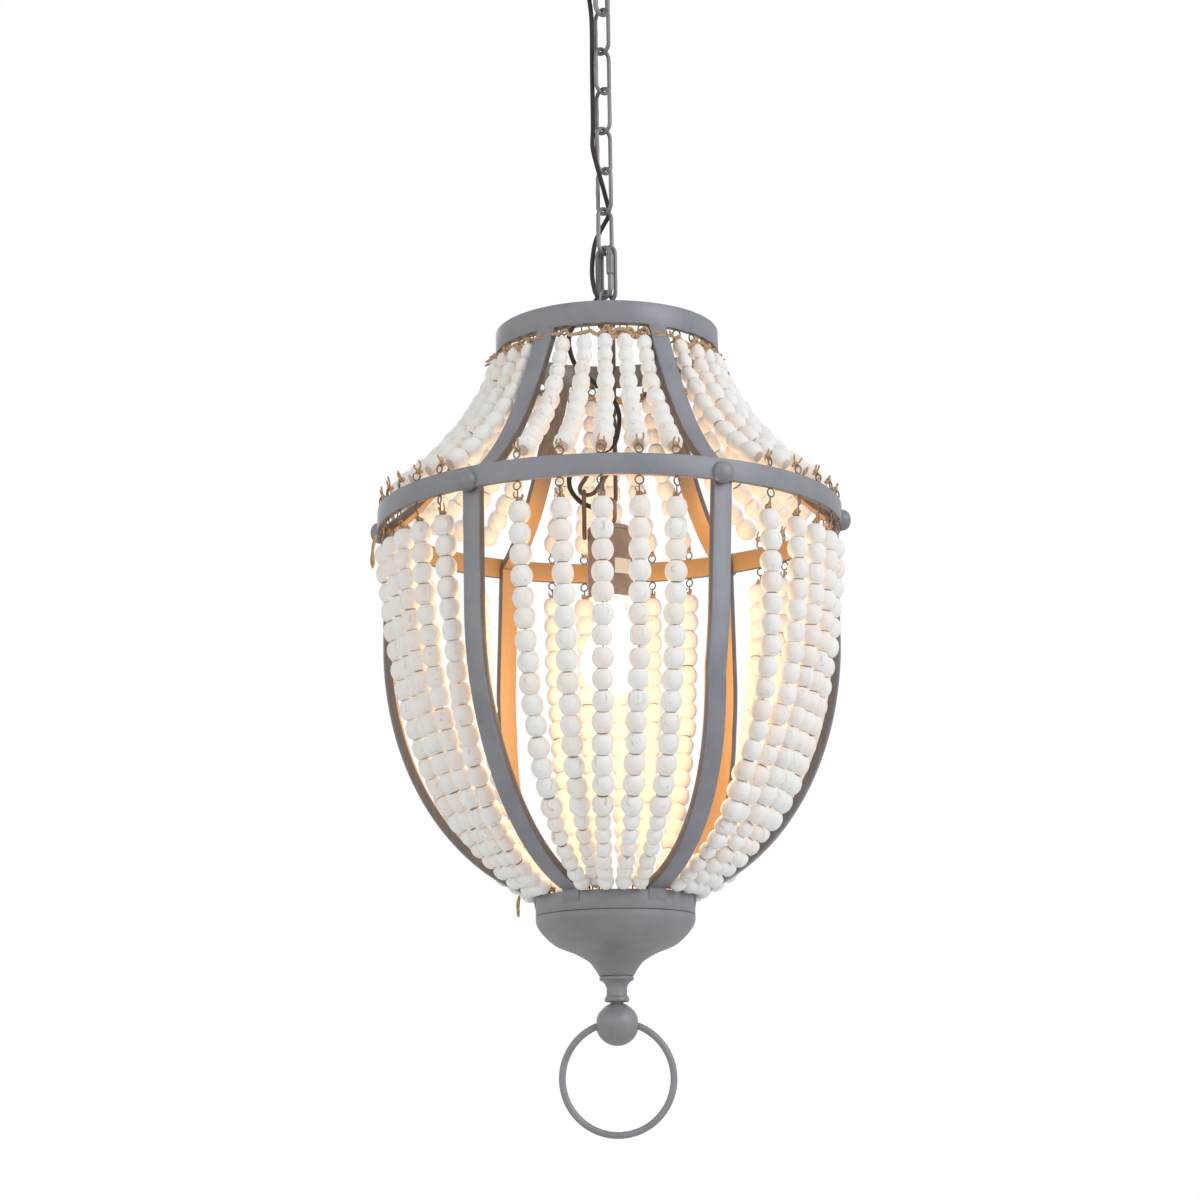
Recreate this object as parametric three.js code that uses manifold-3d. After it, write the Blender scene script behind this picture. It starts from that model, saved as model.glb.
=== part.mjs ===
// Beaded chandelier on a chain, in millimetres, +Z up.
// The origin is the middle of the ceiling face, so everything hangs below z = 0.
// Azimuths run from the front (-Y) towards the right (+X).
import * as THREE from "three";
import { mergeVertices } from "three/addons/utils/BufferGeometryUtils.js";
import Module from "manifold-3d";

const wasm = await Module();
wasm.setup();

// General clearances
const GAP = 0.3;
const OVERRUN = 5;
const SINK = 0.4;
const WELD = 0.0005;

// Ceiling fitting
const CANOPY_RADIUS = 60;
const CANOPY_DEPTH = 28;
const CANOPY_WALL = 2;
const CANOPY_FLAT_RADIUS = 22;
const CANOPY_HOLE_RADIUS = 5.4;
const CROSSBAR_LENGTH = 100;
const CROSSBAR_WIDTH = 22;
const CROSSBAR_THICKNESS = 3;
const CROSSBAR_SCREW_RADIUS = 2.5;
const CROSSBAR_SCREW_OFFSET = 35;
const STEM_RADIUS = 4.8;
const FLANGE_RADIUS = 10;
const FLANGE_HEIGHT = 3.7;
const STEM_COLLAR_RADIUS = 7.5;
const STEM_COLLAR_HEIGHT = 12;
const LOOP_WIRE_RADIUS = 2.4;
const LOOP_WIDTH = 17;
const LOOP_HEIGHT = 33;

// Chain
const LINK_COUNT = 6;
const LINK_WIRE_RADIUS = 2.1;
const LINK_WIDTH = 18.4;
const LINK_HEIGHT = 47.3;

// Quick link with its screw sleeve, and the plain spare link beside it
const QUICK_WIRE_RADIUS = 2.6;
const QUICK_WIDTH = 17.2;
const QUICK_HEIGHT = 51.8;
const QUICK_MOUTH = 5;
const QUICK_MOUTH_RISE = 7;
const SLEEVE_RADIUS = 4;
const SLEEVE_LENGTH = 21;
const QUICK_SHIFT = 2.2;
const SPARE_TOP_PLAY = 1.2;
const SPARE_BOTTOM_PLAY = 2.8;

// Hanger eye bolt
const EYE_WIRE_RADIUS = 2.5;
const EYE_WIDTH = 20.4;
const EYE_HEIGHT = 22.2;
const EYE_WASHER_RADIUS = 7.5;
const EYE_WASHER_HEIGHT = 3;
const EYE_STEM_RADIUS = 3;
const NUT_RADIUS = 8.5;
const NUT_HEIGHT = 5.2;
const LOWER_EYE_RADIUS = 5;
const LOWER_EYE_WIRE_RADIUS = 2;

// Top hoop and the arched strap across it
const HOOP_RADIUS = 110;
const HOOP_WALL = 4;
const HOOP_HEIGHT = 22.5;
const ARCH_WIDTH = 20;
const ARCH_THICKNESS = 4;
const ARCH_RISE = 20;
const ARCH_END_DROP = 4.8;

// Middle band and its round-headed bolts
const BAND_RADIUS = 226;
const BAND_WALL = 4;
const BAND_HEIGHT = 20;
const BAND_DROP = 182;
const BOLT_HEAD_RADIUS = 10.5;
const BOLT_HEAD_HEIGHT = 10;
const BOLT_SHANK_RADIUS = 3;
const BOLT_TAIL = 3;

// Ribs
const RIB_COUNT = 6;
const RIB_WIDTH = 19.5;
const RIB_THICKNESS = 4.5;
const RIB_TOP_DROP = 8;
const RIB_BELLY_DROP = 130;
const RIB_LOWER_REACH = 235;
const RIB_LOWER_DEPTH = 270;

// Cup at the bottom of the ribs
const COLLAR_RADIUS = 72.5;
const COLLAR_WALL = 2.5;
const COLLAR_HEIGHT = 18;
const COLLAR_LAP = 4.3;
const BOWL_RADIUS = 75.8;
const BOWL_DEPTH = 56;
const BOWL_WALL = 2.4;
const BOWL_FOOT_RADIUS = 16.3;
const BOWL_FLOOR = 8;

// Finial neck, ball and ring
const NECK_HEIGHT = 24;
const NECK_FLANGE_HEIGHT = 3.7;
const NECK_WAIST_RADIUS = 8.9;
const NECK_FOOT_RADIUS = 11.1;
const NECK_STEM_RADIUS = 6.2;
const NECK_STEM_HEIGHT = 1.7;
const BALL_RADIUS = 19.7;
const RING_RADIUS = 52.2;
const RING_WIRE_RADIUS = 3.25;
const RING_REST_RISE = 1.95;

// Lamp
const LAMP_LINK_COUNT = 4;
const LAMP_LINK_HEIGHT = 46.2;
const LAMP_LINK_BITE = 0.9;
const SPARE_CHAIN_BITE = 0.3;
const SPARE_CHAIN_X = -24.5;
const SPARE_CHAIN_Y = -10;
const SPARE_CHAIN_DROP = 34;
const CAP_LOOP_WIDTH = 15;
const CAP_LOOP_HEIGHT = 26;
const CAP_HEIGHT = 5.5;
const CAP_NECK_RADIUS = 6.5;
const SHELL_RADIUS = 21.8;
const SHELL_LENGTH = 66.4;
const SHELL_WALL = 1.8;
const SHELL_SKIRT = 22;
const SOCKET_RADIUS = 13.6;
const SOCKET_DEPTH = 22;
const BULB_RADIUS = 30;
const BULB_LENGTH = 138;

// Bead strands
const STRAND_COUNT = 5;
const LARGE_BEAD_DIAMETER = 19.6;
const SMALL_BEAD_DIAMETER = 15.2;
const BEAD_GAP = 0.1;
const UPPER_SMALL_COUNT = 3;
const LOWER_SMALL_COUNT = 6;
const STRING_RADIUS = 1.2;
const UPPER_LEAD = 6;
const UPPER_TAIL = 10;
const LOWER_LEAD = 13;
const LOWER_TAIL = 4;
const TUCK = 13;
const TUCK_RISE = 5;

// Lamp flex
const FLEX_RADIUS = 2.3;
const FLEX_ENTRY = [-11, -9];
const FLEX_ENTRY_RUN = 6;
const FLEX_SIDE_COUNT = 8;
const FLEX_STEP_COUNT = 62;

// Shares and counts
const FRONT_RIB_AZIMUTH = -33;
const LINK_AZIMUTH = 45;
const SLANT_AZIMUTH = 50;
const RING_FACET_COUNT = 36;
const CUP_FACET_COUNT = 24;
const BOWL_FACET_COUNT = 20;
const TURNED_FACET_COUNT = 16;
const WIRE_SIDE_COUNT = 5;
const ARC_STEP_COUNT = 4;
const NECK_SHARE = 0.24;
const EQUATOR_SHARE = 1.15;
const FLAT_BEAD_SHARE = 0.97;
// Places of the five strands of a bay, as shares of half the bay's angle
const TOP_PLACE_SHARES = [-0.65, -0.325, 0, 0.325, 0.65];
const RIM_PLACE_SHARES = [-0.6, -0.385, -0.17, 0.215, 0.6];
const TUCK_SHARES = [0, 1, 0, 0, 0];
// Pull points of a strand's two hanging curves, as shares of their reach and fall
const UPPER_STRAND_SHARES = [[0.02, 0.34], [0.28, 0.64]];
const LOWER_STRAND_SHARES = [[0.03, 0.37], [0.33, 0.86]];
const STRAND_BAND_SHARE = 0.3;
// Pull points of a rib between hoop and band, as shares of its reach and drop
const RIB_SHARES = [[0.087, 0.215], [0.2, 0.7]];
// Profiles of turned pieces, as shares of their radius and height
const BOLT_HEAD_SHARES = [[1, 0], [0.78, 0.66]];
const BOWL_SHARES = [[0.275, 0.135], [0.34, 0.24], [0.51, 0.378], [0.76, 0.523], [0.933, 0.746], [0.99, 0.88]];
const NECK_SHARES = [[1.05, 0.73], [1, 0.54], [1.4, 0.35]];
const CAP_SHARES = [[1, 0.5], [0.84, 1]];

const radians = THREE.MathUtils.degToRad;
const bayAngle = 360 / RIB_COUNT;

// Finishes
const finish = (color, roughness, metalness) => new THREE.MeshStandardMaterial({ color, roughness, metalness });
const greyIron = finish(0x8e9299, 0.55, 0.35);
const darkIron = finish(0x4c443f, 0.5, 0.6);
const chainIron = finish(0x7a7570, 0.45, 0.7);
const brownPlastic = finish(0x8f7466, 0.6, 0);
const glass = finish(0xfff4dc, 0.2, 0);
const whitewashedWood = finish(0xe4e0db, 0.75, 0);
const flexCover = finish(0x2e2623, 0.6, 0);

// Solids

// Weld a three.js geometry by position and drop its empty triangles
function welded(geometry) {
  const bare = new THREE.BufferGeometry();
  bare.setAttribute("position", geometry.getAttribute("position"));
  if (geometry.index) bare.setIndex(geometry.index);
  const merged = mergeVertices(bare, WELD);
  const kept = [];
  const index = merged.index.array;
  for (let i = 0; i < index.length; i += 3) {
    const [a, b, c] = [index[i], index[i + 1], index[i + 2]];
    if (a !== b && b !== c && c !== a) kept.push(a, b, c);
  }
  merged.setIndex(kept);
  return merged;
}

function toSolid(geometry) {
  const merged = welded(geometry);
  return new wasm.Manifold(new wasm.Mesh({
    numProp: 3,
    vertProperties: new Float32Array(merged.getAttribute("position").array),
    triVerts: new Uint32Array(merged.index.array),
  }));
}

function toGeometry(body) {
  const mesh = body.getMesh();
  const geometry = new THREE.BufferGeometry();
  geometry.setAttribute("position", new THREE.BufferAttribute(new Float32Array(mesh.vertProperties), 3));
  geometry.setIndex(new THREE.BufferAttribute(new Uint32Array(mesh.triVerts), 1));
  return geometry;
}

function join(...geometries) {
  return toGeometry(geometries.map(toSolid).reduce((whole, piece) => whole.add(piece)));
}

function cut(geometry, ...tools) {
  return toGeometry(tools.map(toSolid).reduce((whole, tool) => whole.subtract(tool), toSolid(geometry)));
}

// A turned solid: the profile runs in (radius, height) with its outer side going up
function turned(profile, facets, firstCorner = 0) {
  const points = profile.map(([radius, height]) => new THREE.Vector2(radius, height));
  return new THREE.LatheGeometry(points, facets, firstCorner).rotateX(Math.PI / 2);
}

// A flat ring of rectangular section, its facets centred on the ribs
function flatHoop(radius, wall, top, height, facets) {
  const inner = radius - wall;
  const bottom = top - height;
  const profile = [[inner, bottom], [radius, bottom], [radius, top], [inner, top], [inner, bottom]];
  return turned(profile, facets, radians(FRONT_RIB_AZIMUTH) + Math.PI / facets);
}

// Radius of a facet's middle on a faceted ring
const flatRadius = (radius, facets) => radius * Math.cos(Math.PI / facets);

// A round bar from one height to another, about the Z axis
function bar(radius, bottom, top, facets) {
  return turned([[0, bottom], [radius, bottom], [radius, top], [0, top]], facets);
}

// The centreline of an oval wire in the XZ plane: two half circles and two straight sides.
// With a mouth it starts above the mouth on the +X side and ends below it.
class OvalWire extends THREE.Curve {
  constructor(width, height, arcSteps, mouth = 0, mouthRise = 0) {
    super();
    const radius = width / 2;
    const middle = height / 2 - radius;
    const stops = [];
    if (mouth > 0) stops.push([radius, mouthRise + mouth / 2, Math.PI / 2]);
    for (let i = 0; i <= arcSteps; i++) {
      const angle = (Math.PI * i) / arcSteps;
      stops.push([radius * Math.cos(angle), middle + radius * Math.sin(angle), angle + Math.PI / 2]);
    }
    for (let i = 0; i <= arcSteps; i++) {
      const angle = Math.PI + (Math.PI * i) / arcSteps;
      stops.push([radius * Math.cos(angle), -middle + radius * Math.sin(angle), angle + Math.PI / 2]);
    }
    if (mouth > 0) stops.push([radius, mouthRise - mouth / 2, Math.PI / 2]);
    else stops.push(stops[0]);
    this.stops = stops;
    this.segments = stops.length - 1;
  }

  stopAt(share) {
    return this.stops[Math.min(this.segments, Math.round(share * this.segments))];
  }

  getPointAt(share) {
    const [x, z] = this.stopAt(share);
    return new THREE.Vector3(x, 0, z);
  }

  getTangentAt(share) {
    const angle = this.stopAt(share)[2];
    return new THREE.Vector3(Math.cos(angle), 0, Math.sin(angle));
  }
}

// A closed oval of wire standing in the XZ plane, its lowest bar's centre at z = 0
function ovalLoop(width, height, wireRadius, sides = WIRE_SIDE_COUNT) {
  const path = new OvalWire(width, height, ARC_STEP_COUNT);
  return new THREE.TubeGeometry(path, path.segments, wireRadius, sides, true).translate(0, 0, height / 2);
}

// A regular section for a tube along an open path
function roundSection(radius, sides) {
  const corners = [];
  for (let i = 0; i < sides; i++) {
    const angle = (2 * Math.PI * i) / sides;
    corners.push(new THREE.Vector2(radius * Math.cos(angle), radius * Math.sin(angle)));
  }
  return new THREE.Shape(corners);
}

function openTube(path, radius, sides, steps) {
  return new THREE.ExtrudeGeometry(roundSection(radius, sides), { steps, bevelEnabled: false, extrudePath: path });
}

// Heights, from the ceiling down

// Each link's top bar rests on the bar above it, a wire's thickness and a gap higher
const rest = (upperWire, lowerWire) => upperWire + lowerWire + GAP;
const loopBar = -(CANOPY_DEPTH + GAP + FLANGE_HEIGHT + STEM_COLLAR_HEIGHT + LOOP_HEIGHT + SINK);
const linkBars = [];
let barAbove = loopBar;
let wireAbove = LOOP_WIRE_RADIUS;
for (let i = 0; i < LINK_COUNT; i++) {
  barAbove = barAbove + rest(wireAbove, LINK_WIRE_RADIUS) - LINK_HEIGHT;
  wireAbove = LINK_WIRE_RADIUS;
  linkBars.push(barAbove);
}
const lastLinkBar = linkBars[LINK_COUNT - 1];
// Off its middle a curved bar lies higher by the slope of its facets
const bendSlope = Math.tan(Math.PI / (2 * ARC_STEP_COUNT));
const quickBar = lastLinkBar + rest(LINK_WIRE_RADIUS, QUICK_WIRE_RADIUS) + QUICK_SHIFT * bendSlope - QUICK_HEIGHT;
const eyeTop = quickBar + rest(QUICK_WIRE_RADIUS, EYE_WIRE_RADIUS) + QUICK_SHIFT * bendSlope;
const eyeBar = eyeTop - EYE_HEIGHT;
const washerTop = eyeBar - EYE_WIRE_RADIUS + SINK;
const archTop = washerTop - EYE_WASHER_HEIGHT - GAP;
const hoopTop = archTop - ARCH_THICKNESS / 2 - ARCH_RISE + ARCH_END_DROP;
const hoopBottom = hoopTop - HOOP_HEIGHT;
const bandTop = hoopTop - BAND_DROP;
const bandBottom = bandTop - BAND_HEIGHT;
const boltHeight = bandTop - BAND_HEIGHT / 2;

// The ribs stand inside the hoop and the band and outside the collar, which laps over the end of their lower curve
const ribWaist = flatRadius(BAND_RADIUS - BAND_WALL, RING_FACET_COUNT) - GAP - RIB_THICKNESS / 2;
const ribTopRadius = flatRadius(HOOP_RADIUS - HOOP_WALL, RING_FACET_COUNT) - GAP - RIB_THICKNESS / 2;
const ribFootRadius = flatRadius(COLLAR_RADIUS, CUP_FACET_COUNT) + GAP + RIB_THICKNESS / 2;
const bellyTop = bandTop - RIB_BELLY_DROP;
const lowerSweep = Math.acos(1 - (ribWaist - ribFootRadius) / RIB_LOWER_REACH);
const collarTop = bellyTop - RIB_LOWER_DEPTH * Math.sin(lowerSweep) + COLLAR_LAP;
const collarBottom = collarTop - COLLAR_HEIGHT;
const bowlTop = collarBottom - GAP;
const bowlBottom = bowlTop - BOWL_DEPTH;
const neckTop = bowlBottom - GAP;
const neckBottom = neckTop - NECK_HEIGHT - NECK_STEM_HEIGHT;
const ballFlatTop = neckBottom - GAP;
const ballCentre = ballFlatTop - Math.sqrt(BALL_RADIUS ** 2 - NECK_STEM_RADIUS ** 2);
const ringCentre = ballCentre + RING_REST_RISE - RING_RADIUS;
const nutTop = archTop - ARCH_THICKNESS - GAP;
const lowerEyeCentre = nutTop - NUT_HEIGHT - LOWER_EYE_RADIUS + SINK;
const lowerEyeBar = lowerEyeCentre - LOWER_EYE_RADIUS;

const chandelier = new THREE.Group();

function addPiece(name, geometry, material, parent = chandelier) {
  const mesh = new THREE.Mesh(welded(geometry), material);
  mesh.name = name;
  parent.add(mesh);
  return mesh;
}

// A group turned so that its +X points outwards at an azimuth
function outwardGroup(azimuth) {
  const group = new THREE.Group();
  group.rotation.z = radians(azimuth) - Math.PI / 2;
  chandelier.add(group);
  return group;
}

// Ceiling canopy: a spun shell, open towards the ceiling
function ceilingCanopy() {
  const inner = CANOPY_RADIUS - CANOPY_WALL;
  const innerFlat = CANOPY_FLAT_RADIUS - CANOPY_WALL / 2;
  const floor = CANOPY_WALL - CANOPY_DEPTH;
  const outerCurve = new THREE.QuadraticBezierCurve(
    new THREE.Vector2(CANOPY_FLAT_RADIUS, -CANOPY_DEPTH),
    new THREE.Vector2(CANOPY_RADIUS, -CANOPY_DEPTH),
    new THREE.Vector2(CANOPY_RADIUS, 0),
  );
  const innerCurve = new THREE.QuadraticBezierCurve(
    new THREE.Vector2(inner, 0),
    new THREE.Vector2(inner, floor),
    new THREE.Vector2(innerFlat, floor),
  );
  const profile = [
    [CANOPY_HOLE_RADIUS, -CANOPY_DEPTH],
    ...outerCurve.getPoints(3).map((p) => [p.x, p.y]),
    ...innerCurve.getPoints(3).map((p) => [p.x, p.y]),
    [CANOPY_HOLE_RADIUS, floor],
    [CANOPY_HOLE_RADIUS, -CANOPY_DEPTH],
  ];
  return turned(profile, TURNED_FACET_COUNT);
}

// Ceiling loop: crossbar for two screws, stem, flange that carries the canopy, collar and oval loop
function ceilingLoop() {
  const plate = new THREE.BoxGeometry(CROSSBAR_LENGTH, CROSSBAR_WIDTH, CROSSBAR_THICKNESS);
  plate.translate(0, 0, -CROSSBAR_THICKNESS / 2);
  const flangeTop = -CANOPY_DEPTH - GAP;
  const collarTopHere = flangeTop - FLANGE_HEIGHT;
  const collarEnd = collarTopHere - STEM_COLLAR_HEIGHT;
  const stem = turned([
    [0, collarEnd],
    [STEM_COLLAR_RADIUS, collarEnd],
    [STEM_COLLAR_RADIUS, collarTopHere],
    [FLANGE_RADIUS, collarTopHere],
    [FLANGE_RADIUS, flangeTop],
    [STEM_RADIUS, flangeTop],
    [STEM_RADIUS, -CROSSBAR_THICKNESS / 2],
    [0, -CROSSBAR_THICKNESS / 2],
  ], 12);
  const loop = ovalLoop(LOOP_WIDTH, LOOP_HEIGHT, LOOP_WIRE_RADIUS);
  loop.rotateZ(radians(LINK_AZIMUTH)).translate(0, 0, loopBar);
  const holes = [-CROSSBAR_SCREW_OFFSET, CROSSBAR_SCREW_OFFSET].map((x) =>
    bar(CROSSBAR_SCREW_RADIUS, -CROSSBAR_THICKNESS - OVERRUN, OVERRUN, 10).translate(x, 0, 0),
  );
  return cut(join(plate, stem, loop), ...holes);
}

// Chain links hang in turn at +45 and -45 degrees
function chainLinks() {
  linkBars.forEach((height, i) => {
    const side = i % 2 === 0 ? -1 : 1;
    const link = addPiece(`chain_link_${i + 1}`, ovalLoop(LINK_WIDTH, LINK_HEIGHT, LINK_WIRE_RADIUS), chainIron);
    link.rotation.z = radians(side * LINK_AZIMUTH);
    link.position.z = height;
  });
}

// Quick link, its sleeve and the spare link share the last link's bar and the hanger eye
function quickLinkGroup() {
  const group = new THREE.Group();
  group.rotation.z = radians(-LINK_AZIMUTH);
  chandelier.add(group);
  const path = new OvalWire(QUICK_WIDTH, QUICK_HEIGHT, ARC_STEP_COUNT, QUICK_MOUTH, QUICK_MOUTH_RISE);
  const middle = quickBar + QUICK_HEIGHT / 2;
  const quick = addPiece("quick_link", openTube(path, QUICK_WIRE_RADIUS, 6, path.segments), chainIron, group);
  quick.position.set(0, -QUICK_SHIFT, middle);

  const bore = (QUICK_WIRE_RADIUS + GAP) / Math.cos(Math.PI / 10);
  const half = SLEEVE_LENGTH / 2;
  const wall = [[bore, -half], [SLEEVE_RADIUS, -half], [SLEEVE_RADIUS, half], [bore, half], [bore, -half]];
  const tube = turned(wall, 10);
  const sleeve = addPiece("quick_link_sleeve", tube, chainIron, group);
  sleeve.position.set(QUICK_WIDTH / 2, -QUICK_SHIFT, middle + QUICK_MOUTH_RISE);

  // The spare link lies against the sleeve and meets both curved bars off their middles, with play to swing
  const aside = rest(SLEEVE_RADIUS, LINK_WIRE_RADIUS) - QUICK_SHIFT;
  const rimReach = (outerRadius, wire) => Math.sqrt((outerRadius - rest(wire, LINK_WIRE_RADIUS)) ** 2 - aside ** 2);
  const topReach = rimReach(LINK_WIDTH / 2, LINK_WIRE_RADIUS) - SPARE_TOP_PLAY;
  const bottomReach = rimReach(EYE_WIDTH / 2, EYE_WIRE_RADIUS) - SPARE_BOTTOM_PLAY;
  const spareTop = lastLinkBar + LINK_WIDTH / 2 - topReach;
  const spareBottom = eyeTop - EYE_WIDTH / 2 + bottomReach;
  const spare = addPiece(
    "spare_link",
    ovalLoop(LINK_WIDTH, spareTop - spareBottom, LINK_WIRE_RADIUS),
    chainIron,
    group,
  );
  spare.position.set(0, aside, spareBottom);
}

// Hanger eye bolt: upper eye, washer, stem through the arch, nut and lower eye
function hangerEye() {
  const upper = ovalLoop(EYE_WIDTH, EYE_HEIGHT, EYE_WIRE_RADIUS);
  upper.rotateZ(radians(LINK_AZIMUTH)).translate(0, 0, eyeBar);
  const washerBottom = washerTop - EYE_WASHER_HEIGHT;
  const stem = turned([
    [0, nutTop - SINK],
    [EYE_STEM_RADIUS, nutTop - SINK],
    [EYE_STEM_RADIUS, washerBottom],
    [EYE_WASHER_RADIUS, washerBottom],
    [EYE_WASHER_RADIUS, washerTop],
    [0, washerTop],
  ], 10);
  const nut = bar(NUT_RADIUS, nutTop - NUT_HEIGHT, nutTop, 6);
  const lower = new THREE.TorusGeometry(LOWER_EYE_RADIUS, LOWER_EYE_WIRE_RADIUS, WIRE_SIDE_COUNT, 12);
  lower.rotateX(Math.PI / 2).rotateZ(radians(LINK_AZIMUTH)).translate(0, 0, lowerEyeCentre);
  return join(upper, stem, nut, lower);
}

// Top hoop with the arched strap welded across it, bored for the eye bolt
function topHoop() {
  const hoop = flatHoop(HOOP_RADIUS, HOOP_WALL, hoopTop, HOOP_HEIGHT, RING_FACET_COUNT);
  const halfSpan = flatRadius(HOOP_RADIUS - HOOP_WALL, RING_FACET_COUNT) + HOOP_WALL / 2;
  const archRadius = (halfSpan ** 2 + ARCH_RISE ** 2) / (2 * ARCH_RISE);
  const swing = Math.asin(halfSpan / archRadius);
  const centre = archTop - ARCH_THICKNESS / 2 - archRadius;
  const outline = new THREE.Shape();
  outline.absarc(0, centre, archRadius - ARCH_THICKNESS / 2, Math.PI / 2 - swing, Math.PI / 2 + swing, false);
  outline.absarc(0, centre, archRadius + ARCH_THICKNESS / 2, Math.PI / 2 + swing, Math.PI / 2 - swing, true);
  const strap = new THREE.ExtrudeGeometry(outline, { depth: ARCH_WIDTH, bevelEnabled: false, curveSegments: 6 });
  strap.rotateX(Math.PI / 2).translate(0, ARCH_WIDTH / 2, 0);
  strap.rotateZ(radians(FRONT_RIB_AZIMUTH + bayAngle * 2) - Math.PI / 2);
  const hole = bar(EYE_STEM_RADIUS + GAP, archTop - ARCH_THICKNESS - OVERRUN, archTop + OVERRUN, 10);
  return cut(join(hoop, strap), hole);
}

// Middle band with one round-headed bolt through each rib
function middleBand() {
  const pieces = [flatHoop(BAND_RADIUS, BAND_WALL, bandTop, BAND_HEIGHT, RING_FACET_COUNT)];
  const seat = flatRadius(BAND_RADIUS, RING_FACET_COUNT) - SINK;
  const tail = ribWaist - RIB_THICKNESS / 2 - BOLT_TAIL;
  const profile = [
    [0, tail],
    [BOLT_SHANK_RADIUS, tail],
    [BOLT_SHANK_RADIUS, seat],
    ...BOLT_HEAD_SHARES.map(([wide, high]) => [BOLT_HEAD_RADIUS * wide, seat + BOLT_HEAD_HEIGHT * high]),
    [0, seat + BOLT_HEAD_HEIGHT],
  ];
  for (let i = 0; i < RIB_COUNT; i++) {
    const bolt = turned(profile, 8).rotateY(Math.PI / 2);
    bolt.rotateZ(radians(FRONT_RIB_AZIMUTH + bayAngle * i) - Math.PI / 2).translate(0, 0, boltHeight);
    pieces.push(bolt);
  }
  return join(...pieces);
}

// Rib centreline in (radius, height): down the hoop, out to the band, round the belly and in to the collar
function ribCentreline() {
  const start = new THREE.Vector2(ribTopRadius, hoopBottom - GAP);
  const end = new THREE.Vector2(ribWaist, boltHeight);
  const pulls = RIB_SHARES.map(([out, down]) =>
    new THREE.Vector2(start.x + (end.x - start.x) * out, start.y + (end.y - start.y) * down),
  );
  const upper = new THREE.CubicBezierCurve(start, ...pulls, end);
  const points = [new THREE.Vector2(ribTopRadius, hoopTop - RIB_TOP_DROP), ...upper.getPoints(5)];
  for (let i = 0; i <= 7; i++) {
    const angle = (lowerSweep * i) / 7;
    const radius = ribWaist - RIB_LOWER_REACH * (1 - Math.cos(angle));
    points.push(new THREE.Vector2(radius, bellyTop - RIB_LOWER_DEPTH * Math.sin(angle)));
  }
  points.push(new THREE.Vector2(ribFootRadius, bowlTop + GAP));
  return points;
}

// Flat strap of a given thickness along a centreline, as a closed outline
function strapOutline(points, thickness) {
  const side = (offset) => points.map((point, i) => {
    const before = points[Math.max(0, i - 1)];
    const after = points[Math.min(points.length - 1, i + 1)];
    const first = new THREE.Vector2().subVectors(point, before).normalize();
    const second = new THREE.Vector2().subVectors(after, point).normalize();
    const along = new THREE.Vector2().addVectors(first, second).normalize();
    const lean = i === 0 || i === points.length - 1 ? 1 : along.dot(second);
    return new THREE.Vector2(point.x - (along.y * offset) / lean, point.y + (along.x * offset) / lean);
  });
  return new THREE.Shape([...side(thickness / 2), ...side(-thickness / 2).reverse()]);
}

function rib() {
  const outline = strapOutline(ribCentreline(), RIB_THICKNESS);
  const strap = new THREE.ExtrudeGeometry(outline, { depth: RIB_WIDTH, bevelEnabled: false });
  strap.rotateX(Math.PI / 2).translate(0, RIB_WIDTH / 2, 0);
  const reach = RIB_THICKNESS + OVERRUN;
  const bore = (BOLT_SHANK_RADIUS + GAP) / Math.cos(Math.PI / 8);
  const hole = bar(bore, ribWaist - reach, ribWaist + reach, 8).rotateY(Math.PI / 2);
  hole.translate(0, 0, boltHeight);
  return cut(strap, hole);
}

// Cup: the collar carries the strand ends and the bowl closes the foot of the cage
function cupCollar() {
  return flatHoop(COLLAR_RADIUS, COLLAR_WALL, collarTop, COLLAR_HEIGHT, CUP_FACET_COUNT);
}

function cupBowl() {
  const lip = COLLAR_RADIUS - COLLAR_WALL;
  const wall = BOWL_SHARES.map(([wide, high]) => [BOWL_RADIUS * wide, bowlBottom + BOWL_DEPTH * high]);
  const shoulder = wall[wall.length - 1][1];
  const inner = wall.slice(2, -1).reverse().map(([radius, height]) => [radius - BOWL_WALL, height + BOWL_WALL]);
  return turned([
    [0, bowlBottom],
    [BOWL_FOOT_RADIUS, bowlBottom],
    ...wall,
    [BOWL_RADIUS, bowlTop],
    [lip, bowlTop],
    [lip, shoulder],
    ...inner,
    [BOWL_FOOT_RADIUS, bowlBottom + BOWL_FLOOR],
    [0, bowlBottom + BOWL_FLOOR],
  ], BOWL_FACET_COUNT);
}

// Finial: turned neck, bored ball and the pull ring through it
function finialNeck() {
  const foot = neckBottom + NECK_STEM_HEIGHT;
  return turned([
    [0, neckBottom],
    [NECK_STEM_RADIUS, neckBottom],
    [NECK_STEM_RADIUS, foot],
    [NECK_FOOT_RADIUS, foot],
    ...NECK_SHARES.map(([wide, down]) => [NECK_WAIST_RADIUS * wide, neckTop - NECK_HEIGHT * down]),
    [BOWL_FOOT_RADIUS, neckTop - NECK_FLANGE_HEIGHT],
    [BOWL_FOOT_RADIUS, neckTop],
    [0, neckTop],
  ], TURNED_FACET_COUNT);
}

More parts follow.
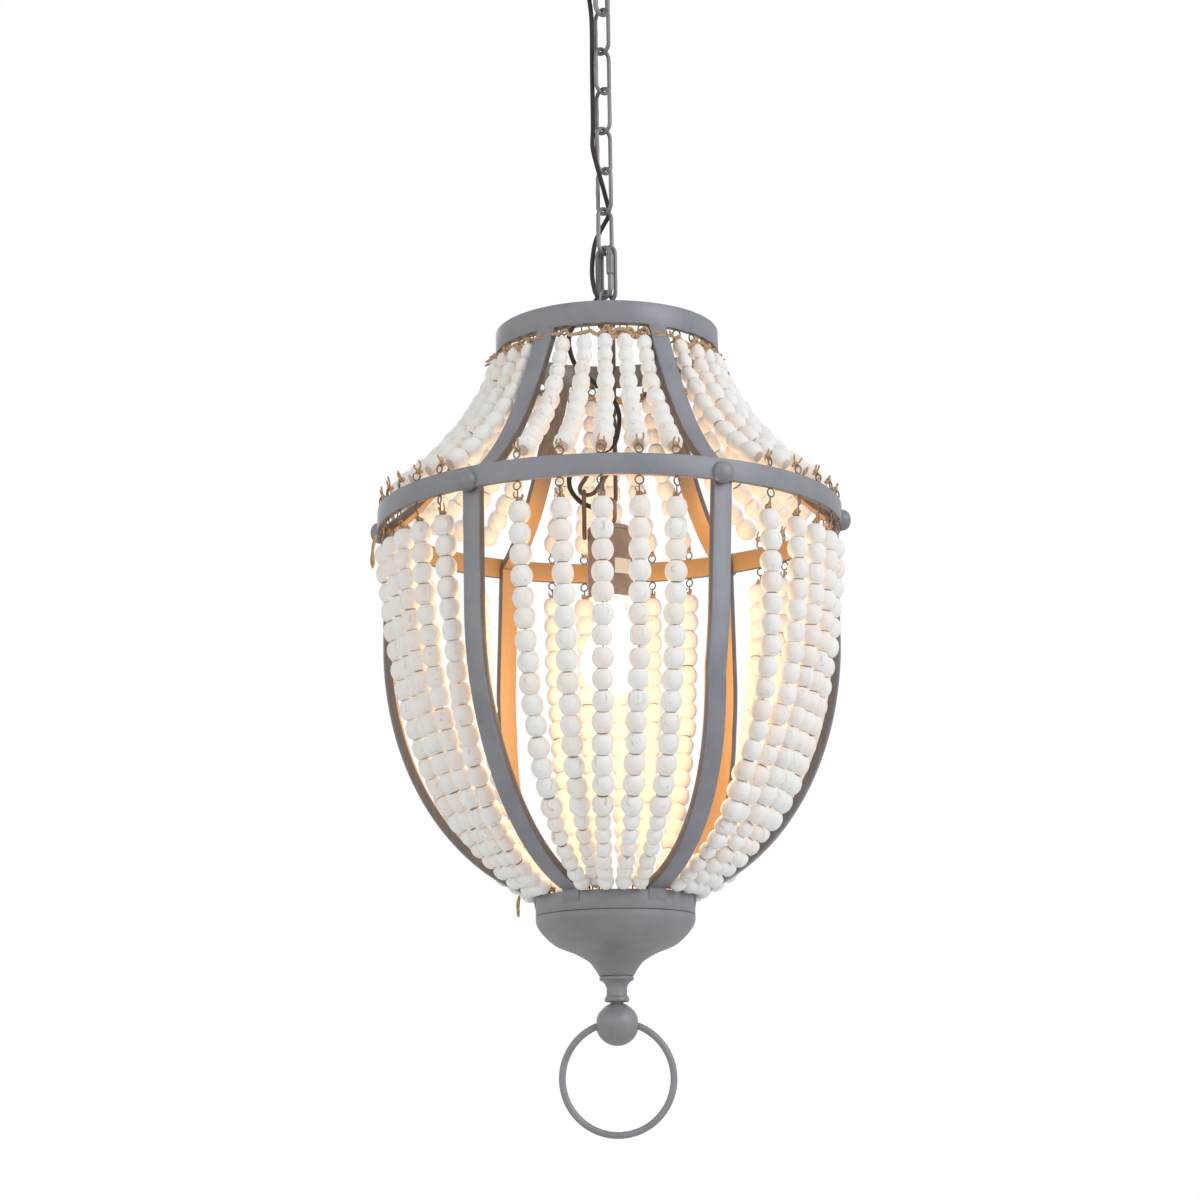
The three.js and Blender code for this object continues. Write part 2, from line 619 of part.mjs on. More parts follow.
function finialBall() {
  const profile = [[0, ballCentre - BALL_RADIUS]];
  const topAngle = Math.acos(NECK_STEM_RADIUS / BALL_RADIUS);
  const steps = 8;
  for (let i = 1; i <= steps; i++) {
    const angle = -Math.PI / 2 + ((Math.PI / 2 + topAngle) * i) / steps;
    profile.push([BALL_RADIUS * Math.cos(angle), ballCentre + BALL_RADIUS * Math.sin(angle)]);
  }
  profile.push([0, ballFlatTop]);
  const boreRadius = (RING_WIRE_RADIUS + RING_REST_RISE + GAP) / Math.cos(Math.PI / 12);
  const reach = BALL_RADIUS + OVERRUN;
  const bore = bar(boreRadius, -reach, reach, 12).rotateY(Math.PI / 2).translate(0, 0, ballCentre);
  return cut(turned(profile, 14), bore);
}

function finialRing() {
  return new THREE.TorusGeometry(RING_RADIUS, RING_WIRE_RADIUS, WIRE_SIDE_COUNT, 24).rotateX(Math.PI / 2);
}

// Lamp chain: four links on the axis and the two left over, hooked in and hanging beside the lampholder
const fusedRest = 2 * LINK_WIRE_RADIUS - LAMP_LINK_BITE;
const lampBars = [];
let lampBarAbove = lowerEyeBar + rest(LOWER_EYE_WIRE_RADIUS, LINK_WIRE_RADIUS) - LAMP_LINK_HEIGHT;
for (let i = 0; i < LAMP_LINK_COUNT; i++) {
  lampBars.push(lampBarAbove);
  lampBarAbove += fusedRest - LAMP_LINK_HEIGHT;
}
const lampChainEnd = lampBars[LAMP_LINK_COUNT - 1];
const capLoopTop = lampChainEnd + rest(LINK_WIRE_RADIUS, LINK_WIRE_RADIUS);
const capTop = capLoopTop - CAP_LOOP_HEIGHT - LINK_WIRE_RADIUS + SINK;
const capBottom = capTop - CAP_HEIGHT;
const shellTop = capBottom - GAP;
const shellBottom = shellTop - SHELL_LENGTH;

function lampChain() {
  const link = (height) => ovalLoop(LINK_WIDTH, height, LINK_WIRE_RADIUS, 4);
  const pieces = lampBars.map((height, i) => {
    const side = i % 2 === 0 ? -1 : 1;
    return link(LAMP_LINK_HEIGHT).rotateZ(radians(side * LINK_AZIMUTH)).translate(0, 0, height);
  });
  // The slanted link runs from a shoulder of the last link to the hanging one
  const reach = (LINK_WIDTH / 2 - fusedRest) * Math.SQRT1_2;
  const hook = new THREE.Vector3(-reach, 0, 0).applyAxisAngle(new THREE.Vector3(0, 0, 1), radians(LINK_AZIMUTH));
  const start = hook.setZ(lampChainEnd + LAMP_LINK_HEIGHT - LINK_WIDTH / 2 + reach);
  const end = new THREE.Vector3(SPARE_CHAIN_X, SPARE_CHAIN_Y, start.z - SPARE_CHAIN_DROP);
  const down = new THREE.Vector3().subVectors(start, end).normalize();
  const across = new THREE.Vector3(0, 0, 1).cross(down).normalize();
  const face = new THREE.Vector3().crossVectors(down, across);
  const slant = link(start.distanceTo(end)).rotateZ(radians(SLANT_AZIMUTH));
  slant.applyMatrix4(new THREE.Matrix4().makeBasis(across, face.negate(), down)).translate(end.x, end.y, end.z);
  const hanging = link(LAMP_LINK_HEIGHT).rotateZ(Math.PI / 2);
  hanging.translate(end.x, end.y, end.z + fusedRest - SPARE_CHAIN_BITE - LAMP_LINK_HEIGHT);
  return join(...pieces, slant, hanging);
}

function lampholderCap() {
  const loop = ovalLoop(CAP_LOOP_WIDTH, CAP_LOOP_HEIGHT, LINK_WIRE_RADIUS);
  loop.rotateZ(radians(-LINK_AZIMUTH)).translate(0, 0, capLoopTop - CAP_LOOP_HEIGHT);
  const dome = turned([
    [0, capBottom],
    [SHELL_RADIUS, capBottom],
    ...CAP_SHARES.map(([wide, high]) => [SHELL_RADIUS * wide, capBottom + CAP_HEIGHT * high]),
    [CAP_NECK_RADIUS, capTop],
    [0, capTop],
  ], TURNED_FACET_COUNT);
  return join(dome, loop);
}

function lampholderShell() {
  const socketTop = shellBottom + SHELL_SKIRT + SOCKET_DEPTH;
  const skirtTop = shellBottom + SHELL_SKIRT;
  const inner = SHELL_RADIUS - SHELL_WALL;
  return turned([
    [0, socketTop],
    [SOCKET_RADIUS, socketTop],
    [SOCKET_RADIUS, skirtTop],
    [inner, skirtTop],
    [inner, shellBottom],
    [SHELL_RADIUS, shellBottom],
    [SHELL_RADIUS, shellTop],
    [0, shellTop],
  ], TURNED_FACET_COUNT);
}

function bulb() {
  const top = shellBottom + SHELL_SKIRT + SOCKET_DEPTH - GAP;
  const bottom = top - BULB_LENGTH;
  const base = SOCKET_RADIUS - 2 * GAP;
  const globe = bottom + BULB_RADIUS;
  const profile = [[0, bottom]];
  for (let i = 1; i <= 5; i++) {
    const angle = -Math.PI / 2 + (radians(120) * i) / 5;
    profile.push([BULB_RADIUS * Math.cos(angle), globe + BULB_RADIUS * Math.sin(angle)]);
  }
  profile.push([base, shellBottom + SHELL_SKIRT / 2], [base, top], [0, top]);
  return turned(profile, 12);
}

// Bead strands

// Side view of one strand's two hanging stretches, as curves in (radius, height)
function strandCurves(tucked) {
  const hoopSeat = HOOP_RADIUS - HOOP_WALL / 2;
  const behindBand = flatRadius(BAND_RADIUS - BAND_WALL, RING_FACET_COUNT) - GAP - STRING_RADIUS;
  const drop = hoopBottom - bandTop;
  const span = behindBand - hoopSeat;
  const upper = new THREE.CubicBezierCurve(
    new THREE.Vector2(hoopSeat, hoopBottom - GAP),
    ...UPPER_STRAND_SHARES.map(([out, down]) => new THREE.Vector2(hoopSeat + span * out, hoopBottom - drop * down)),
    new THREE.Vector2(behindBand, bandTop + BAND_HEIGHT * STRAND_BAND_SHARE),
  );
  const rim = COLLAR_RADIUS - COLLAR_WALL / 2 - tucked * TUCK;
  const rimHeight = collarTop + GAP + tucked * TUCK_RISE;
  const fall = bandBottom - rimHeight;
  const belly = behindBand - rim;
  const lower = new THREE.CubicBezierCurve(
    new THREE.Vector2(behindBand, bandBottom - GAP),
    ...LOWER_STRAND_SHARES.map(([inward, down]) =>
      new THREE.Vector2(behindBand - belly * inward, bandBottom - fall * down),
    ),
    new THREE.Vector2(rim, rimHeight),
  );
  return { upper, lower };
}

// Bead sizes along a stretch of string: small beads at the narrow end, then as many large ones as fit
function beadRow(length, smallCount) {
  const small = SMALL_BEAD_DIAMETER * FLAT_BEAD_SHARE + BEAD_GAP;
  const large = LARGE_BEAD_DIAMETER * FLAT_BEAD_SHARE + BEAD_GAP;
  const largeCount = Math.max(1, Math.floor((length - smallCount * small) / large));
  const stretch = length / (smallCount * small + largeCount * large);
  const row = [];
  for (let i = 0; i < smallCount; i++) row.push({ diameter: SMALL_BEAD_DIAMETER, length: small * stretch });
  for (let i = 0; i < largeCount; i++) row.push({ diameter: LARGE_BEAD_DIAMETER, length: large * stretch });
  return row;
}

// Places of the rings of one strand: a knot, a waist and a belly for each bead, and plain string behind the band
function strandRings(bayCentre, strand) {
  const { upper, lower } = strandCurves(TUCK_SHARES[strand]);
  const half = bayAngle / 2;
  const topAzimuth = bayCentre + half * TOP_PLACE_SHARES[strand];
  const rimAzimuth = bayCentre + half * RIM_PLACE_SHARES[strand];
  const rings = [];
  const put = (curve, share, radius, belly, azimuth) => {
    const place = curve.getPointAt(share);
    const along = curve.getTangentAt(share);
    rings.push({ place, along, radius, belly, azimuth: radians(azimuth) });
  };
  const stringBeads = (curve, row, lead, azimuthAt) => {
    const whole = curve.getLength();
    let at = lead;
    for (const bead of row) {
      const waist = bead.diameter * NECK_SHARE;
      put(curve, at / whole, waist, false, azimuthAt(at / whole));
      const middle = (at + bead.length / 2) / whole;
      put(curve, middle, (bead.diameter / 2) * EQUATOR_SHARE, true, azimuthAt(middle));
      at += bead.length;
    }
    put(curve, at / whole, row[row.length - 1].diameter * NECK_SHARE, false, azimuthAt(at / whole));
  };
  const upperAzimuth = () => topAzimuth;
  const lowerAzimuth = (share) => topAzimuth + (rimAzimuth - topAzimuth) * share ** 3;
  put(upper, 0, STRING_RADIUS, false, topAzimuth);
  const upperRow = beadRow(upper.getLength() - UPPER_LEAD - UPPER_TAIL, UPPER_SMALL_COUNT);
  stringBeads(upper, upperRow, UPPER_LEAD, upperAzimuth);
  put(upper, 1, STRING_RADIUS, false, topAzimuth);
  rings[rings.length - 1].along.set(0, -1);
  put(lower, 0, STRING_RADIUS, false, topAzimuth);
  rings[rings.length - 1].along.set(0, -1);
  const lowerRow = beadRow(lower.getLength() - LOWER_LEAD - LOWER_TAIL, LOWER_SMALL_COUNT).reverse();
  stringBeads(lower, lowerRow, LOWER_LEAD, lowerAzimuth);
  put(lower, 1, STRING_RADIUS, false, rimAzimuth);
  rings[rings.length - 1].along.set(0, -1);
  return rings;
}

// One closed skin over the rings, three corners each, the bellies turned half a step
function strandSkin(rings) {
  const corners = 3;
  const positions = [];
  const index = [];
  for (const ring of rings) {
    const out = new THREE.Vector3(Math.sin(ring.azimuth), -Math.cos(ring.azimuth), 0);
    const round = new THREE.Vector3(Math.cos(ring.azimuth), Math.sin(ring.azimuth), 0);
    const along = out.clone().multiplyScalar(ring.along.x).setZ(ring.along.y).normalize();
    const face = new THREE.Vector3().crossVectors(round, along);
    const centre = out.clone().multiplyScalar(ring.place.x).setZ(ring.place.y);
    for (let i = 0; i < corners; i++) {
      const angle = ((i + (ring.belly ? 0.5 : 0)) * 2 * Math.PI) / corners;
      const corner = centre.clone();
      corner.addScaledVector(face, ring.radius * Math.cos(angle));
      corner.addScaledVector(round, ring.radius * Math.sin(angle));
      positions.push(corner.x, corner.y, corner.z);
    }
  }
  rings.forEach((ring, j) => {
    if (j === rings.length - 1) return;
    const here = j * corners;
    const next = here + corners;
    const turn = ring.belly && !rings[j + 1].belly ? 1 : 0;
    for (let i = 0; i < corners; i++) {
      const after = (i + 1) % corners;
      if (turn) index.push(here + i, next + after, next + i, here + i, here + after, next + after);
      else index.push(here + i, here + after, next + i, here + after, next + after, next + i);
    }
  });
  const last = (rings.length - 1) * corners;
  index.push(0, 2, 1, last, last + 1, last + 2);
  const geometry = new THREE.BufferGeometry();
  geometry.setAttribute("position", new THREE.Float32BufferAttribute(positions, 3));
  geometry.setIndex(index);
  return geometry;
}

function beadStrands() {
  for (let bay = 0; bay < RIB_COUNT; bay++) {
    const bayCentre = FRONT_RIB_AZIMUTH + bayAngle * (bay + 0.5);
    for (let strand = 0; strand < STRAND_COUNT; strand++) {
      const skin = strandSkin(strandRings(bayCentre, strand));
      addPiece(`bead_strand_${bay + 1}_${strand + 1}`, skin, whitewashedWood);
    }
  }
}

// Lamp flex: woven down the chain, round in front of the arch and into the lampholder cap
const FLEX_ROUTE = [
  [-14, -1, -30.6],
  [-13, -1, -55],
  [-10.5, -1, -80],
  [-10.5, -1, -140],
  [-10.5, -1, -200],
  [-11, -9.5, -225],
  [-7, -11.5, -245],
  [0, 0, -269],
  [4, 10, -288],
  [-2, 13, -300],
  [-9, 10, -315],
  [-12.5, 4, -335],
  [-13.5, 1, -355],
  [-11, -8, -375],
  [-9, -15, -385],
  [-27.5, -15, -407],
  [-36, -15, -420],
  [-37, -15, -434],
  [-30, -15, -455],
  [-10, -15, -474],
  [6, -15, -490],
  [11, -15, -505],
  [10, -15, -520],
  [5, -18, -536],
  [-9.5, -22, -546],
  [-28, -23, -553],
  [-37, -20, -563],
  [-38, -13, -577],
  [-29, -11, -590],
  [-16, -9, -597],
  [-11, -9, -603],
];

function lampFlex() {
  const [entryX, entryY] = FLEX_ENTRY;
  const points = [...FLEX_ROUTE, [entryX, entryY, capTop + FLEX_ENTRY_RUN], [entryX, entryY, capTop + GAP]];
  const route = new THREE.CatmullRomCurve3(points.map((p) => new THREE.Vector3(...p)), false, "centripetal");
  return openTube(route, FLEX_RADIUS, FLEX_SIDE_COUNT, FLEX_STEP_COUNT);
}

// Assembly, from the ceiling down
addPiece("ceiling_canopy", ceilingCanopy(), greyIron);
addPiece("ceiling_loop", ceilingLoop(), greyIron);
chainLinks();
quickLinkGroup();
addPiece("hanger_eye", hangerEye(), darkIron);
addPiece("top_hoop", topHoop(), greyIron);
addPiece("middle_band", middleBand(), greyIron);
for (let i = 0; i < RIB_COUNT; i++) {
  addPiece(`rib_${i + 1}`, rib(), greyIron, outwardGroup(FRONT_RIB_AZIMUTH + bayAngle * i));
}
addPiece("cup_collar", cupCollar(), greyIron);
addPiece("cup_bowl", cupBowl(), greyIron);
addPiece("finial_neck", finialNeck(), greyIron);
addPiece("finial_ball", finialBall(), greyIron);
addPiece("finial_ring", finialRing(), greyIron).position.z = ringCentre;
addPiece("lamp_chain", lampChain(), darkIron);
addPiece("lampholder_cap", lampholderCap(), brownPlastic);
addPiece("lampholder_shell", lampholderShell(), brownPlastic);
addPiece("bulb", bulb(), glass);
addPiece("flex", lampFlex(), flexCover);
beadStrands();

export default chandelier;
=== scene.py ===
"""Looks of the beaded lantern chandelier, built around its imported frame.

Lengths are in millimetres and angles in degrees unless a name or comment says otherwise. Azimuths run from
the front to the right. Shares are parts of the length or angle that they divide.
"""

import sys

import logging
import math
from dataclasses import dataclass, field
from enum import Enum
from functools import lru_cache

import bmesh
import bpy
import numpy as np
from mathutils import Matrix, Vector


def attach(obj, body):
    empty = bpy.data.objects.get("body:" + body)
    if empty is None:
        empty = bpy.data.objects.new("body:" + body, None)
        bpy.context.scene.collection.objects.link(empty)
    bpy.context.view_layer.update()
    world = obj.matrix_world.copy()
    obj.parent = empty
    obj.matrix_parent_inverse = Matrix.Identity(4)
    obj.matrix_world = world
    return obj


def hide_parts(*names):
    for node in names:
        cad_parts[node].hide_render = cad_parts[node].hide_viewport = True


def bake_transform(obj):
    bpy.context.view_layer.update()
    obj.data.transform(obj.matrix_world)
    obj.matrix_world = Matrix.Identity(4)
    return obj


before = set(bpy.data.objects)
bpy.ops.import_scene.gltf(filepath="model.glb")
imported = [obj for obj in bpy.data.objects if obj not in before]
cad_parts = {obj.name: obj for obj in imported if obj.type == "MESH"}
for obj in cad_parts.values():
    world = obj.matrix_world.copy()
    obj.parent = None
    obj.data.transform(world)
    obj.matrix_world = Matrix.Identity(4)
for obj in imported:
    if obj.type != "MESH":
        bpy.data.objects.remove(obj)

log = logging.getLogger("chandelier")

MM = 0.001
FULL_TURN = 2 * math.pi
SHARP_ANGLE = math.radians(38)
MERGE_DISTANCE = 1e-6
RIB_COUNT = 6
BAY_ANGLE = 360 / RIB_COUNT
FRONT_RIB_AZIMUTH = -33.0
LINK_AZIMUTH = 45.0
GAP = 0.3
UP = np.array([0.0, 0.0, 1.0])
BACK = np.array([0.0, 1.0, 0.0])

# Heights in millimetres below the ceiling
LOOP_BAR = -77.4
LINK_BARS = (-119.9, -162.7, -205.5, -248.3, -291.1, -333.9)
QUICK_BAR = -379.789
EYE_BAR = -395.677
ARCH_TOP = -401.077
HOOP_TOP = -418.277
HOOP_BOTTOM = -440.777
BAND_TOP = -600.277
BAND_BOTTOM = -620.277
BOLT_HEIGHT = -610.277
COLLAR_TOP = -974.997
COLLAR_BOTTOM = -992.997
BOWL_TOP = -993.297
BOWL_BOTTOM = -1049.297
NECK_TOP = -1049.597
NECK_BOTTOM = -1075.297
BALL_CENTRE = -1094.296
RING_CENTRE = -1144.546
LOWER_EYE_CENTRE = -415.177
LAMP_BARS = (-461.977, -504.877, -547.777, -590.677)
CAP_LOOP_TOP = -586.177
CAP_TOP = -613.877
CAP_BOTTOM = -619.377
SHELL_TOP = -619.677
SHELL_BOTTOM = -686.077


class Slot(Enum):
    """Material slots of the record."""

    GREY_IRON = "grey_iron"
    DARK_IRON = "dark_iron"
    CHAIN_IRON = "chain_iron"
    LAMPHOLDER = "lampholder"
    BULB = "bulb_glass"
    BEADS = "bead_wood"
    FLEX = "flex_cover"


class Edge(Enum):
    """Whether a swept surface's ends are closed by discs or joined to each other."""

    CAPPED = "capped"
    JOINED = "joined"


# Surfaces


@dataclass
class Patch:
    """Copies of a tube-like grid: copies x rows x columns x 3, in millimetres, each row a closed ring.

    shade is one value a copy and rim one value a row of each copy; materials read both as attributes.
    On beads, rim is 1 on the end rings where two beads meet, and the bead material paints shade there.
    """

    points: np.ndarray
    ends: Edge = Edge.CAPPED
    shade: np.ndarray = field(default_factory=lambda: np.array([0.5]))
    rim: np.ndarray | None = None

    def cells(self) -> tuple[np.ndarray, np.ndarray]:
        """Rows and columns of the four corners of every cell of a copy, counted on past the last one.

        Returns:
            Two steps x columns x 4 arrays.
        """
        _, rows, columns, _ = self.points.shape
        steps = rows if self.ends is Edge.JOINED else rows - 1
        row, column = np.meshgrid(np.arange(steps), np.arange(columns), indexing="ij")
        beside = column + 1
        return np.stack([row, row, row + 1, row + 1], -1), np.stack([column, beside, beside, column], -1)

    def quads(self) -> np.ndarray:
        """Corner numbers of every quad, ring by ring.

        Returns:
            A faces x 4 array.
        """
        copies, rows, columns, _ = self.points.shape
        row, column = self.cells()
        corners = row % rows * columns + column % columns
        offsets = np.arange(copies)[:, None, None] * rows * columns
        return (corners.reshape(1, -1, 4) + offsets).reshape(-1, 4)

    def caps(self) -> np.ndarray:
        """Corner numbers of the discs that close an open tube.

        Returns:
            A discs x columns array, empty for a joined one.
        """
        copies, rows, columns, _ = self.points.shape
        if self.ends is Edge.JOINED:
            return np.zeros((0, columns), int)
        ring = np.arange(columns)
        offsets = np.arange(copies)[:, None] * rows * columns
        return np.concatenate([ring[::-1] + offsets, ring + (rows - 1) * columns + offsets])

    def shade_values(self) -> np.ndarray:
        """The shade of every point."""
        copies, rows, columns, _ = self.points.shape
        return np.repeat(np.broadcast_to(self.shade, (copies,)), rows * columns)

    def contact_shade_values(self) -> np.ndarray:
        """The rim of every point, where the bead material paints shade, 0 where none is given."""
        copies, rows, columns, _ = self.points.shape
        return np.repeat(np.zeros((copies, rows)) if self.rim is None else self.rim, columns)

    def quad_uv(self) -> np.ndarray:
        """Map coordinates of every quad corner: metres along the rows, share of a turn around.

        Returns:
            A (faces x 4) x 2 array.
        """
        copies, _, columns, _ = self.points.shape
        middle = self.points.mean(2)
        strides = np.linalg.norm(np.roll(middle, -1, 1) - middle, axis=-1) * MM
        along = np.concatenate([np.zeros((copies, 1)), np.cumsum(strides, 1)], 1)
        row, column = self.cells()
        u = along[:, row]
        v = np.broadcast_to(column / columns, u.shape)
        return np.stack([u, v], -1).reshape(-1, 2)


def build_mesh(name: str, patches: list[Patch]) -> bpy.types.Object:
    """One object out of several patches, its faces turned outwards and shaded as curved at low angles.

    Args:
        name: name of the piece.
        patches: the grids that make it.

    Returns:
        The new object at the origin.
    """
    starts = np.cumsum([0] + [p.points.size // 3 for p in patches])
    points = np.concatenate([p.points.reshape(-1, 3) for p in patches]) * MM
    quads = np.concatenate([p.quads() + start for p, start in zip(patches, starts)])
    caps = [row for p, start in zip(patches, starts) for row in (p.caps() + start).tolist()]
    mesh = bpy.data.meshes.new(name)
    mesh.from_pydata(points.tolist(), [], quads.tolist() + caps)
    corner_uv = np.concatenate([p.quad_uv() for p in patches])
    uv = np.zeros((len(mesh.loops), 2))
    uv[: len(corner_uv)] = corner_uv
    mesh.uv_layers.new(name="Map").data.foreach_set("uv", uv.ravel())
    for label, values in (("shade", Patch.shade_values), ("rim", Patch.contact_shade_values)):
        per_point = np.concatenate([values(p) for p in patches]).astype(np.float32)
        mesh.attributes.new(label, "FLOAT", "POINT").data.foreach_set("value", per_point)
    work = bmesh.new()
    work.from_mesh(mesh)
    bmesh.ops.remove_doubles(work, verts=work.verts, dist=MERGE_DISTANCE)
    bmesh.ops.recalc_face_normals(work, faces=work.faces)
    work.to_mesh(mesh)
    work.free()
    mesh.shade_smooth()
    mesh.set_sharp_from_angle(angle=SHARP_ANGLE)
    piece = bpy.data.objects.new(name, mesh)
    bpy.context.scene.collection.objects.link(piece)
    return piece


def unit(vectors: np.ndarray) -> np.ndarray:
    """The vectors at length one."""
    return vectors / np.linalg.norm(vectors, axis=-1, keepdims=True)


def outward(azimuth: float | np.ndarray) -> np.ndarray:
    """Direction that points outwards at an azimuth in degrees: (sin a, -cos a, 0)."""
    angle = np.radians(azimuth)
    return np.stack([np.sin(angle), -np.cos(angle), np.zeros_like(angle)], -1)


def sideways(azimuth: float | np.ndarray) -> np.ndarray:
    """Direction round the axis at an azimuth in degrees: (cos a, sin a, 0)."""
    angle = np.radians(azimuth)
    return np.stack([np.cos(angle), np.sin(angle), np.zeros_like(angle)], -1)


def turned_about_z(points: np.ndarray, degrees: float) -> np.ndarray:
    """Points turned about the Z axis: x cos - y sin, x sin + y cos."""
    c, s = math.cos(math.radians(degrees)), math.sin(math.radians(degrees))
    return points @ np.array([[c, s, 0], [-s, c, 0], [0, 0, 1]])


def ring_section(radius: float, sides: int) -> np.ndarray:
    """A round section: radius times (cos, sin) at equal steps."""
    angle = np.arange(sides) / sides * FULL_TURN
    return radius * np.stack([np.cos(angle), np.sin(angle)], -1)


def strap_section(width: float, thickness: float, corner: float, steps: int = 3) -> np.ndarray:
    """A flat bar's section with rounded corners: a quarter circle about each corner's centre.

    Args:
        width: size along the first axis.
        thickness: size along the second axis.
        corner: radius of the rounding.
        steps: points on each corner.

    Returns:
        A points x 2 array, anticlockwise.
    """
    quarter = np.arange(4).repeat(steps)
    angle = (quarter + np.tile(np.linspace(0, 1, steps), 4)) * math.pi / 2
    signs = np.array([[1, 1], [-1, 1], [-1, -1], [1, -1]])[quarter]
    centre = signs * (np.array([width, thickness]) / 2 - corner)
    return centre + corner * np.stack([np.cos(angle), np.sin(angle)], -1)


def sweep(path: np.ndarray, side: np.ndarray, up: np.ndarray, section: np.ndarray, ends: Edge = Edge.CAPPED,
          swell: np.ndarray | float = 1.0) -> Patch:
    """A section carried along a path: path + swell (x side + y up) for each section point (x, y).

    Args:
        path: rows x 3 centre line in millimetres.
        side: unit vectors for the section's first axis.
        up: unit vectors for the section's second axis.
        section: columns x 2 outline.
        ends: whether the path is a loop.
        swell: scale of the section at each row.

    Returns:
        The patch.
    """
    scale = np.broadcast_to(np.asarray(swell, float), (len(path),))[:, None, None]
    across = section[None, :, 0, None] * side[:, None] + section[None, :, 1, None] * up[:, None]
    return Patch((path[:, None] + scale * across)[None], ends)


def tube(path: np.ndarray, radius: float, sides: int, lean: tuple[float, float, float] = (0, 1, 0),
         swell: np.ndarray | float = 1.0) -> Patch:
    """A round tube: its rings stand square to the path, their first axis square to a lean direction.

    Args:
        path: rows x 3 centre line in millimetres.
        radius: radius of the tube.
        sides: corners of a ring.
        lean: a direction that the path never runs along.
        swell: scale of each ring.

    Returns:
        The patch.
    """
    along = unit(np.gradient(path, axis=0))
    side = unit(np.cross(along, np.array(lean, float)))
    return sweep(path, side, np.cross(side, along), ring_section(radius, sides), Edge.CAPPED, swell)


def revolve(profile: np.ndarray, facets: int, centre: tuple[float, float, float] = (0, 0, 0)) -> Patch:
    """A closed profile of (radius, height) carried round the Z axis: (r cos t, r sin t, h).

    Args:
        profile: columns x 2 outline in millimetres.
        facets: steps round the axis.
        centre: where the axis and the zero height lie.

    Returns:
        The patch.
    """
    angle = (np.arange(facets) / facets * FULL_TURN)[:, None]
    radius, height = profile[None, :, 0], profile[None, :, 1]
    grid = np.stack([radius * np.cos(angle), radius * np.sin(angle), height + 0 * angle], -1)
    return Patch((grid + np.array(centre))[None], Edge.JOINED)


def smooth_line(points: np.ndarray, count: int) -> np.ndarray:
    """A centripetal Catmull-Rom line through the points, by linear blends between root-length knots.

    Args:
        points: n x d points that it passes.
        count: samples on the whole line.

    Returns:
        A count x d array.
    """
    first = 2 * points[:1] - points[1:2]
    last = 2 * points[-1:] - points[-2:-1]
    full = np.concatenate([first, points, last])
    knots = np.concatenate([[0], np.cumsum(np.sqrt(np.linalg.norm(np.diff(full, axis=0), axis=1)))])
    t = np.linspace(0, len(points) - 1, count)
    i = np.minimum(t.astype(int), len(points) - 2)
    at = knots[i + 1] + (t - i) * (knots[i + 2] - knots[i + 1])

    def between(a: np.ndarray, b: np.ndarray, low: np.ndarray, high: np.ndarray) -> np.ndarray:
        """Blend of a and b where at runs from low to high."""
        share = ((at - low) / (high - low))[:, None]
        return a * (1 - share) + b * share

    k0, k1, k2, k3 = (knots[i + n] for n in range(4))
    p0, p1, p2, p3 = (full[i + n] for n in range(4))
    a1, a2, a3 = between(p0, p1, k0, k1), between(p1, p2, k1, k2), between(p2, p3, k2, k3)
    return between(between(a1, a2, k0, k2), between(a2, a3, k1, k3), k1, k2)


def bezier(points: np.ndarray, count: int) -> np.ndarray:
    """A cubic Bezier line: the four points weighted by (1-t)^3, 3t(1-t)^2, 3t^2(1-t) and t^3.

    Args:
        points: 4 x d points.
        count: samples on the line.

    Returns:
        A count x d array.
    """
    t = np.linspace(0, 1, count)[:, None]
    weights = np.concatenate([(1 - t) ** 3, 3 * t * (1 - t) ** 2, 3 * t**2 * (1 - t), t**3], 1)
    return weights @ points


def along_line(line: np.ndarray, places: np.ndarray) -> tuple[np.ndarray, np.ndarray]:
    """Points and unit directions at given lengths along a fine line.

    Args:
        line: n x d samples.
        places: lengths from its start.

    Returns:
        Points and directions, places x d each.
    """
    lengths = np.concatenate([[0], np.cumsum(np.linalg.norm(np.diff(line, axis=0), axis=1))])
    slopes = np.gradient(line, axis=0)
    columns = range(line.shape[1])
    points = np.stack([np.interp(places, lengths, line[:, k]) for k in columns], -1)
    directions = np.stack([np.interp(places, lengths, slopes[:, k]) for k in columns], -1)
    return points, unit(directions)


def line_length(line: np.ndarray) -> float:
    """Length of a fine line."""
    return float(np.linalg.norm(np.diff(line, axis=0), axis=1).sum())


def oval_wire(width: float, height: float, wire: float, bar: float, azimuth: float, shift: float = 0.0,
              sides: int = 12, weld: float = 0.0) -> Patch:
    """An upright oval of round wire: two half circles and two straights, its lowest bar's centre at a height.

    Args:
        width: distance between the straights' centre lines.
        height: distance between the two bars' centre lines.
        wire: radius of the wire.
        bar: height of the lowest bar.
        azimuth: degrees that it is turned about Z from the XZ plane.
        shift: how far its plane lies from the axis.
        sides: corners of the wire's section.
        weld: how much the wire swells at the weld in one straight.

    Returns:
        The patch, joined into a loop.
    """
    radius = width / 2
    half = height / 2 - radius
    arc = np.linspace(0, math.pi, 17)
    straight = np.linspace(half, -half, 9)[1:-1]
    angle = np.concatenate([arc, np.full(7, math.pi), arc + math.pi, np.full(7, 0.0)])
    lift = np.concatenate([np.full(17, half), straight, np.full(17, -half), straight[::-1]])
    level = np.zeros_like(angle)
    out = np.stack([np.cos(angle), level, np.sin(angle)], -1)
    path = radius * out + np.stack([level, level + shift, lift], -1)
    normal = np.broadcast_to(BACK, out.shape)
    at_weld = (np.cos(angle) < -0.99) & (np.abs(lift) < half)
    swell = 1 + weld * np.where(at_weld, np.exp(-((lift / (0.2 * height)) ** 2) * 8), 0)
    patch = sweep(path, out, normal, ring_section(wire, sides), Edge.JOINED, swell)
    moved = turned_about_z(patch.points, azimuth)
    patch.points = moved + (bar + height / 2) * UP
    return patch


